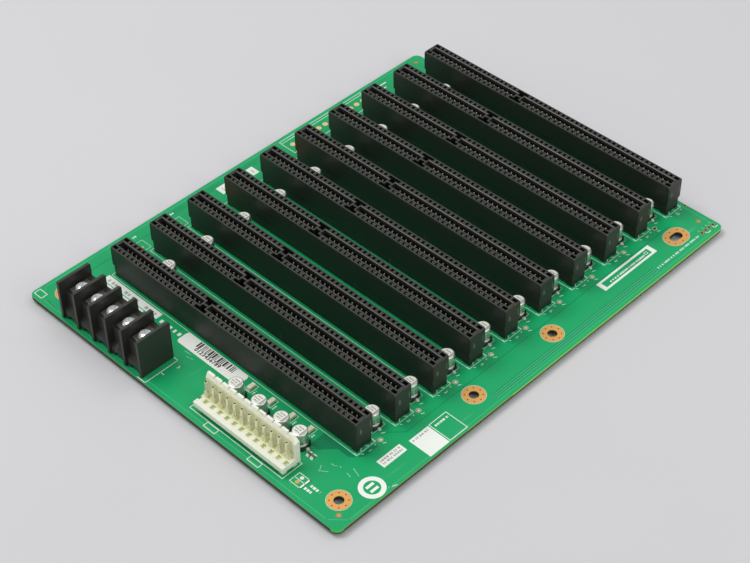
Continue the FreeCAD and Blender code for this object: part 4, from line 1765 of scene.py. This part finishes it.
@dataclass
class Board:
    """The bare board: laminate with its holes, copper under the mask, plated lands and white legends.
    Millimetres from the first slot's centre."""
    layout: Layout
    finishes: Finishes
    corner: float = 3.0
    hole_radius: float = 2.0
    hole_edge: float = 10.4
    hole_margin: float = 0.2
    hole_rows: tuple[float, ...] = (-24.1, 47.3, 92.8, 171.4)
    last_stretch: float = 2.5
    land_radius: float = 4.65
    halo_radius: float = 4.87
    halo_gap: float = 0.1
    via_circle: float = 3.55
    via_radius: float = 0.3
    sides: int = 40
    plating: float = 0.03
    solder_rise: float = 0.06
    hole_rise: float = 0.034
    print_rise: float = 0.03
    spare_spot: Point2 = (-78.4, 104.1)
    spare_pitch: float = 3.96
    spare_count: int = 12
    spare_radius: float = 1.3
    jumper: tuple[Point2, Point2] = ((63.4, -26.1), (63.4, -28.5))
    jumper_radius: float = 0.8
    sights: tuple[Point2, ...] = ((85.2, -29.0), (81.1, 185.5), (-80.9, 185.3))
    sight_radius: float = 0.5
    sight_ring: tuple[float, float] = (0.6, 1.1)
    test_spot: Point2 = (86.6, 180.6)
    test_pitch: float = 2.47
    test_count: int = 4
    test_radius: float = 0.9
    test_hole: float = 0.52
    land_x: float = 70.8
    land_rise: float = 6.7
    slot_land: float = 0.85
    slot_land_hole: float = 0.5
    slot_land_fill: float = 0.55
    slot_land_ring: tuple[float, float] = (0.92, 1.1)
    via_spot: Point2 = (-74.0, 14.6)
    marked_slots: int = 2
    rim_inset: tuple[float, float, float, float] = (7.2, 2.0, 1.5, 7.3)
    track_rise: float = 0.012
    track_width: float = 0.3
    track_inset: float = 5.0
    track_run: tuple[float, float] = (52.0, 150.0)
    track_count: int = 3
    gap_rise: float = 0.010
    right_gap: tuple[float, float] = (5.4, 0.36)
    left_gap: tuple[float, float] = (3.2, 0.3)
    left_run: tuple[float, float] = (30.0, 98.0)
    bus_x: float = -66.0
    bus_pitch: float = 0.9
    bus_count: int = 6
    bus_gap: float = 5.6
    bus_width: float = 0.22
    scratches: tuple[tuple[Area, float], ...] = (
        ((66.0, -14.0, 67.4, -13.9), 0.22), ((67.4, -13.9, 68.5, -13.3), 0.18),
        ((69.4, -12.6, 70.0, -12.9), 0.2), ((73.5, -10.0, 77.5, -11.2), 0.2),
        ((73.5, -13.2, 75.5, -13.6), 0.22), ((64.0, -17.0, 65.5, -19.5), 0.2),
        ((65.0, -19.5, 68.0, -17.5), 0.2), ((-16.0, -13.0, -12.6, -12.7), 0.18),
        ((-13.4, -14.6, -10.0, -13.9), 0.16), ((89.0, -7.4, 90.2, -4.6), 0.5))

    @property
    def low(self) -> Vector:
        """Lowest corner of the board."""
        return self.layout.low - self.layout.datum

    @property
    def high(self) -> Vector:
        """Highest corner of the board."""
        return self.layout.high - self.layout.datum

    def fixings(self) -> list[Fixing]:
        """Lists the mounting holes.

        Returns:
            Every hole: the last row is stretched, and its left one has no ring.
        """
        sides = (self.low.x + self.hole_edge, self.high.x - self.hole_edge)
        made = []
        for y in self.hole_rows:
            last = y == self.hole_rows[-1]
            made += [Fixing(x, y, self.last_stretch if last else 0.0, x > 0 or not last) for x in sides]
        return made

    def test_lands(self) -> list[Point2]:
        """Returns the middles of the four test lands at the far corner."""
        x, y = self.test_spot
        return [(x, y + self.test_pitch * k) for k in range(self.test_count)]

    def _layer(self, thickness: float, base: float = 0.0) -> Ink:
        """Returns an empty layer on the board's surface."""
        return Ink(self.layout.datum, thickness, base)

    def build(self) -> None:
        """Builds the board and everything printed or plated on it."""
        self._laminate()
        self._copper()
        self._lands()
        self._legends()

    def _laminate(self) -> None:
        """Replaces the board's plain solid by one with all its holes."""
        low, high, datum = self.layout.low, self.layout.high, self.layout.datum
        holes = [stadium((f.x + datum.x, f.y + datum.y), self.hole_radius, f.stretch, self.sides)
                 for f in self.fixings()]
        mesh = plate_with_holes(rounded_rectangle(low.xy, high.xy, self.corner), holes, low.z, high.z)
        # Faces beyond hole_side, which take in the mounting hole walls, get the nearly black edge finish:
        # painted shade inside the holes.
        hole_side = (high.x - low.x) / 2 - self.hole_edge - self.hole_radius - self.hole_margin
        for face in (face for face in mesh.polygons if abs(face.normal.z) < 0.5):
            x, y = abs(face.center.x) / MM, abs(face.center.y) / MM
            outer = x > high.x - SAME or y > high.y - SAME
            in_corner = x > high.x - SAME - self.corner and y > high.y - SAME - self.corner
            cut = outer or in_corner or x > hole_side
            face.material_index = Plate.CUT.value if cut else Plate.PLATED.value
        looks = [self.finishes.mask, self.finishes.laminate, self.finishes.gold]
        place("laminate", mesh, looks, Slot.MASK, ["board"])

    def _copper(self) -> None:
        """Adds the copper that shows faintly through the mask, and the gaps in it."""
        right, left, front, back = self.high.x, self.low.x, self.low.y, self.high.y
        far, near, side, corner = self.rim_inset
        tracks, gaps = self._layer(self.track_rise), self._layer(self.gap_rise)
        rim = [(left + far, front + near), (right - far, front + near), (right - side, front + corner),
               (right - side, back - corner), (right - far, back - near), (left + far, back - near),
               (left + side, back - corner), (left + side, front + corner)]
        tracks.line(self.track_width, *((*a, *b) for a, b in zip(rim, rim[1:] + rim[:1])))
        for layer, x, (y0, y1), width in (
                (tracks, right - self.track_inset, self.track_run, self.track_width),
                (gaps, right - self.right_gap[0], self.track_run, self.right_gap[1]),
                (gaps, left + self.left_gap[0], self.left_run, self.left_gap[1])):
            layer.line(width, *((x + k, y0, x + k, y1) for k in range(self.track_count)))
        gaps.line(0.35, (-78.4, -8.8, -78.3, 30.0), (-78.4, -8.8, -74.2, -13.0), (-77.2, -32.2, -71.5, -33.0))
        gaps.line(0.3, (74.9, 16.0, 74.3, back - 16), (74.9, 16.0, 70.1, 11.2))
        for index in range(self.layout.slot_count - 1):
            y = self.layout.slot_y(index)
            spots = [self.bus_x + k * self.bus_pitch for k in range(self.bus_count)]
            gaps.line(self.bus_width, *((x, y + self.bus_gap, x, y + self.layout.pitch - self.bus_gap)
                                        for x in spots))
        gaps.shape([(62.6, -7.4), (68.4, -7.4), (72.4, -3.4), (72.4, 4.0), (70.6, 4.0), (70.6, -5.2),
                    (62.6, -5.2)])
        gaps.shape([(53.6, -12.6), (57.8, -12.6), (62.6, -7.4), (62.6, -5.2), (53.6, -5.2)])
        tracks.done("masked_tracks", self.finishes.track, Slot.MASK)
        gaps.done("masked_gaps", self.finishes.bare, Slot.MASK)

    def _lands(self) -> None:
        """Adds the plated rings, pads, vias and sighting dots."""
        gold, copper, pale = (self._layer(self.plating) for _ in range(3))
        solder, cream = (self._layer(self.solder_rise) for _ in range(2))
        # Via and test holes are drawn as black discs: painted shade standing in for the holes.
        holes = self._layer(self.hole_rise)
        for f in self.fixings():
            if not f.ringed:
                continue
            gold.ring((f.x, f.y), self.hole_radius, self.land_radius, f.stretch, self.sides)
            for a in angles(8):
                lift = math.copysign(f.stretch / 2, math.sin(a)) if abs(math.sin(a)) > SAME else 0.0
                x, y = f.x + self.via_circle * math.cos(a), f.y + self.via_circle * math.sin(a) + lift
                holes.disc((x, y), self.via_radius, 10)
        x, y = self.spare_spot
        for k in range(self.spare_count):
            pale.disc((x, y + k * self.spare_pitch), self.spare_radius, 20)
        solder.disc(self.jumper[0], self.jumper_radius)
        gold.disc(self.jumper[1], self.jumper_radius)
        for spot in self.sights:
            gold.disc(spot, self.sight_radius)
            copper.ring(spot, *self.sight_ring, count=20)
        for spot in self.test_lands():
            copper.disc(spot, self.test_radius)
            holes.disc(spot, self.test_hole)
        for index in range(self.layout.slot_count):
            y = self.layout.slot_y(index)
            rise = y + self.land_rise
            copper.disc((self.land_x, rise), min(self.slot_land, self.high.y - rise - 0.05), 20)
            if index < self.layout.slot_count - 2:
                cream.disc((self.land_x + 0.1, rise), self.slot_land_fill)
            else:
                holes.disc((self.land_x, rise), self.slot_land_hole)
            if index < self.marked_slots:
                gold.disc((self.via_spot[0], y + self.via_spot[1]), self.sight_radius)
        looks = self.finishes
        for layer, name, look, slot in ((gold, "plated_lands", looks.gold, Slot.CONTACT),
                                        (copper, "bare_rings", looks.copper, Slot.CONTACT),
                                        (pale, "spare_lands", looks.pale_gold, Slot.CONTACT),
                                        (cream, "filled_test_lands", looks.cream, Slot.TINNED),
                                        (solder, "filled_lands", looks.solder, Slot.TINNED),
                                        (holes, "via_holes_painted_shade", looks.base, Slot.BASE)):
            layer.done(name, look, slot)

    def _legends(self) -> None:
        """Adds the white print, the marks on it and the scratches."""
        layer, thin = self._layer(self.print_rise, 0.006), self._layer(self.print_rise, 0.007)
        self._slot_legends(thin)
        self._edge_legends(layer, thin)
        self._input_legends(layer, thin)
        thin.done("thin_legends", self.finishes.thin_print, Slot.PAPER)
        for f in (f for f in self.fixings() if f.ringed):
            layer.ring((f.x, f.y), self.land_radius + self.halo_gap, self.halo_radius, f.stretch, self.sides)
        layer.done("white_legends", self.finishes.print, Slot.PAPER)
        self._field_marks()
        scuffs = self._layer(0.008, 0.004)
        for ends, width in self.scratches:
            scuffs.line(width, ends)
        scuffs.done("mask_scratches", self.finishes.scuff, Slot.MASK)

    def _field_marks(self) -> None:
        """Adds the small dark marks that fill the white fields."""
        layer = self._layer(0.012, 0.034)
        for spot, length, height, seed in (((-68.6, -8.5), 7.0, 1.5, 21), ((-58.5, -8.5), 9.0, 1.5, 22),
                                           ((-46.0, -8.5), 6.4, 1.5, 23), ((-62.6, -12.1), 8.6, 1.5, 24),
                                           ((-50.8, -12.1), 5.0, 1.5, 25), ((-78.4, 62.0), 2.2, 0.8, 51),
                                           ((-78.4, 78.8), 2.2, 0.8, 52)):
            layer.dashes(spot, length, height, seed)
        for spot, length, height, seed in (((77.9, -1.0), 10.0, 0.9, 31), ((79.4, -1.0), 10.0, 0.9, 32),
                                           ((79.6, 14.4), 8.0, 0.8, 33)):
            layer.dashes(spot, length, height, seed, upright=True)
        layer.done("field_marks", self.finishes.faint_ink, Slot.PAPER)

    def _slot_legends(self, layer: Ink) -> None:
        """Adds what repeats at every slot.

        Args:
            layer: the print worn thin.
        """
        for index in range(self.layout.slot_count):
            y = self.layout.slot_y(index)
            rise = y + self.land_rise
            layer.frame(0.25, (-70.2, 70.2, y - 5.1, y + 5.1))
            layer.line(0.25, *((68.6, y + lift, 70.0, y + lift) for lift in (-4.7, 4.7)))
            if rise + self.slot_land_ring[1] < self.high.y:
                layer.ring((self.land_x, rise), *self.slot_land_ring, count=20)
                layer.line(0.35, (72.7, rise - 0.5, 73.2, rise + 0.5))
            layer.fill((70.9, 71.4, y + 3.4, y + 3.9))
            layer.line(0.3, (70.7, y - 3.1, 71.3, y - 2.6), (68.7, y - 1.3, 70.1, y - 2.7),
                       (69.0, y + 0.8, 70.1, y + 2.0))
            layer.number(str(index + 1), (71.8, y + 0.3), 1.5)
            if index == self.layout.slot_count - 1:
                continue
            layer.frame(0.1, (66.6, 66.8, y + 6.8, y + 13.5))
            layer.line(0.2, *((66.7, y + lift, 65.2, y + lift) for lift in (6.9, 13.4)))
            layer.line(0.35, (68.9, y + 9.3, 69.4, y + 10.4))
            if index < self.marked_slots:
                layer.frame(0.2, (-77.9, -71.7, y + 9.6, y + 17.3))
                layer.dashes((-81.8, y + 13.4), 3.6, 1.1, 60 + index, upright=True)

    def _edge_legends(self, layer: Ink, thin: Ink) -> None:
        """Adds the marks along the board's two long edges.

        Args:
            layer: the full print.
            thin: the print worn thin.
        """
        layer.band([(75.0, 126.0), (80.1, 126.0), (80.1, 159.0), (75.0, 159.0)],
                   [(76.0, 128.0), (79.1, 128.0), (79.1, 157.0), (76.0, 157.0)])
        thin.dashes((86.3, 151.0), 27.0, 0.9, 3, upright=True)
        layer.dashes((77.6, 131.5), 22.0, 0.8, 5, upright=True)
        layer.dashes((80.2, 25.6), 7.0, 0.9, 6, upright=True)
        layer.frame(0.2, (76.9, 78.3, 154.0, 155.6))
        layer.frame(0.3, (78.5, 89.7, 24.2, 33.7), (-84.5, -79.7, -33.5, -30.2))
        layer.fill((77.2, 81.3, -2.0, 10.0), (82.9, 84.1, -13.6, -9.8), (85.3, 86.5, -13.6, -9.8),
                   (78.7, 89.8, 13.5, 23.7), (-80.2, -75.0, 60.2, 65.6), (-80.2, -75.0, 77.5, 81.0),
                   (-80.8, -80.2, 160.2, 164.8), (-78.2, -77.6, 160.0, 162.4))
        layer.ring((84.7, -11.7), 3.3, 5.2)
        thin.frame(0.35, (-83.6, -73.2, 100.4, 151.0))
        thin.line(0.35, (-82.0, 100.8, -82.0, 151.0))
        for k, (_, y) in enumerate(self.test_lands()):
            thin.line(0.2, (84.6, y, 85.2, y))
            if k % 2:
                layer.line(0.3, (88.3, y - 1.1, 88.3, y + 1.1), (87.4, y - 1.1, 88.3, y - 1.1))

    def _input_legends(self, layer: Ink, thin: Ink) -> None:
        """Adds the marks round the power inputs and the parts behind them.

        Args:
            layer: the full print.
            thin: the print worn thin.
        """
        layer.line(0.3, (-14.0, -34.7, -14.0, -18.2), (-18.5, -18.2, -14.0, -18.2),
                   (-18.5, -34.7, -14.0, -34.7), (-14.0, -27.0, -12.0, -27.0))
        layer.number("3", (-11.0, -20.5), 1.4)
        layer.frame(0.3, (7.8, 58.6, -31.4, -21.2), (18.3, 24.7, -34.0, -31.4), (42.2, 48.4, -34.0, -31.4))
        layer.dashes((68.3, -26.9), 4.8, 1.1, 41)
        layer.dashes((67.3, -29.2), 3.6, 1.1, 42)
        layer.dashes((-35.6, -9.4), 16.0, 1.7, 11)
        layer.frame(0.25, (60.8, 66.8, -30.1, -24.7))
        layer.line(0.25, (60.9, -27.4, 66.7, -27.4))
        layer.fill((65.8, 66.8, -30.1, -24.7), (-70.8, -37.6, -9.2, -5.7), (-70.8, -64.2, -12.9, -9.6),
                   (-63.8, -52.2, -12.9, -9.6), (-51.8, -44.6, -12.9, -9.6))
        for x, y in ((17.1, -8.4), (28.2, -8.5), (39.2, -8.5), (48.9, -8.1)):
            thin.frame(0.25, (x - 1.8, x + 1.8, y - 2.3, y + 2.3))
            thin.dashes((x + 2.4, y - 2.0), 2.2, 0.7, 70 + round(x), upright=True)


@dataclass
class PaperLabel:
    """The paper label with its bars. Millimetres from the first slot's centre."""
    layout: Layout
    finishes: Finishes
    bars_from: float = -14.8
    bars_to: float = 6.4
    bars_y: tuple[float, float] = (-8.4, -5.3)
    figures_from: Point2 = (-13.2, -9.5)
    figures_pitch: float = 1.45
    figures_height: float = 1.8

    def build(self) -> None:
        """Dresses the label and prints its bars and a row of figures."""
        dress("paper_label", self.finishes.paper)
        layer = Ink(self.layout.datum, 0.02, box_mm("paper_label")[1].z - self.layout.top)
        draw = random.Random(7)
        x = self.bars_from
        while x < self.bars_to:
            width = draw.choice((0.3, 0.45, 0.8, 1.0))
            layer.fill((x, x + width, *self.bars_y))
            x += width + draw.choice((0.35, 0.45, 0.7))
        x, y = self.figures_from
        for k in range(10):
            layer.number(str(k), (x + self.figures_pitch * k, y), self.figures_height, weight=0.05)
        layer.done("label_print", self.finishes.dark, Slot.BASE)


# ---------------------------------------------------------------- floor, lamps, camera

@dataclass(frozen=True)
class Lamp:
    """One soft area lamp aimed at the board."""
    name: str
    place: Point3
    size: float
    power: float

    def hang(self, target: Vector) -> None:
        """Adds the lamp.

        Args:
            target: point in metres that it faces.
        """
        data = bpy.data.lights.new(self.name, "AREA")
        data.shape = "DISK"
        data.size = self.size
        data.energy = self.power
        lamp = in_scene(self.name, data)
        lamp.location = self.place
        lamp.rotation_euler = (target - lamp.location).to_track_quat("-Z", "Y").to_euler()


@dataclass
class Studio:
    """Pale floor, soft lamps, pale surroundings and the camera."""
    finishes: Finishes
    lamps: tuple[Lamp, ...] = (
        Lamp("key_lamp", (-0.45, -0.20, 1.00), 0.60, 5.2),
        Lamp("back_lamp", (0.10, 0.75, 0.95), 0.60, 1.5),
        Lamp("side_lamp", (0.90, 0.05, 0.80), 0.50, 2.4),
    )
    world_colour: Colour = (1.0, 0.995, 0.985)
    world_strength: float = 0.52
    floor_reach: float = 3000.0
    floor_depth: float = 5.0
    camera_place: Point3 = (0.37738, -0.37956, 0.49104)
    camera_target: Point3 = (0.00466, -0.00910, 0.0)
    camera_roll: float = -0.94
    camera_lens: float = 85.18

    def build(self) -> None:
        """Adds floor, lamps, surroundings and camera."""
        self._floor()
        for lamp in self.lamps:
            lamp.hang(Vector((0.0, 0.0, 0.0)))
        world = bpy.data.worlds.new("pale_room")
        world.use_nodes = True
        background = world.node_tree.nodes["Background"]
        background.inputs["Color"].default_value = rgba(*self.world_colour)
        background.inputs["Strength"].default_value = self.world_strength
        bpy.context.scene.world = world
        bpy.context.scene.view_settings.view_transform = "Standard"
        self._camera()

    def _floor(self) -> None:
        """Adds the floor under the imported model's lowest point."""
        maker, reach = Maker(), self.floor_reach
        low = CAD_BOUNDS[0][2] / MM
        maker.box((-reach, -reach, low - self.floor_depth), (reach, reach, low))
        mesh = maker.data("floor")
        mesh.materials.append(self.finishes.floor)
        floor = in_scene("floor", mesh)

    def _camera(self) -> None:
        """Adds the camera."""
        data = bpy.data.cameras.new("camera")
        data.lens = self.camera_lens
        data.sensor_width = 36.0
        data.clip_start = 0.01
        camera = in_scene("camera", data)
        camera.location = self.camera_place
        facing = (Vector(self.camera_target) - camera.location).to_track_quat("-Z", "Y")
        roll = Matrix.Rotation(math.radians(self.camera_roll), 4, "Z").to_quaternion()
        camera.rotation_euler = (facing @ roll).to_euler()
        bpy.context.scene.camera = camera


def main() -> None:
    """Builds every sub-assembly in order."""
    logging.basicConfig(level=logging.INFO)
    layout = Layout.read()
    finishes = Finishes(layout)
    for assembly in (Board(layout, finishes), CardSlots(layout, finishes), Passives(layout, finishes),
                     PowerInputs(layout, finishes), PaperLabel(layout, finishes)):
        LOG.info("building %s", type(assembly).__name__)
        assembly.build()
    dress("slot_corner_tails", finishes.solder)
    Studio(finishes).build()


if __name__ == "__main__":
    main()
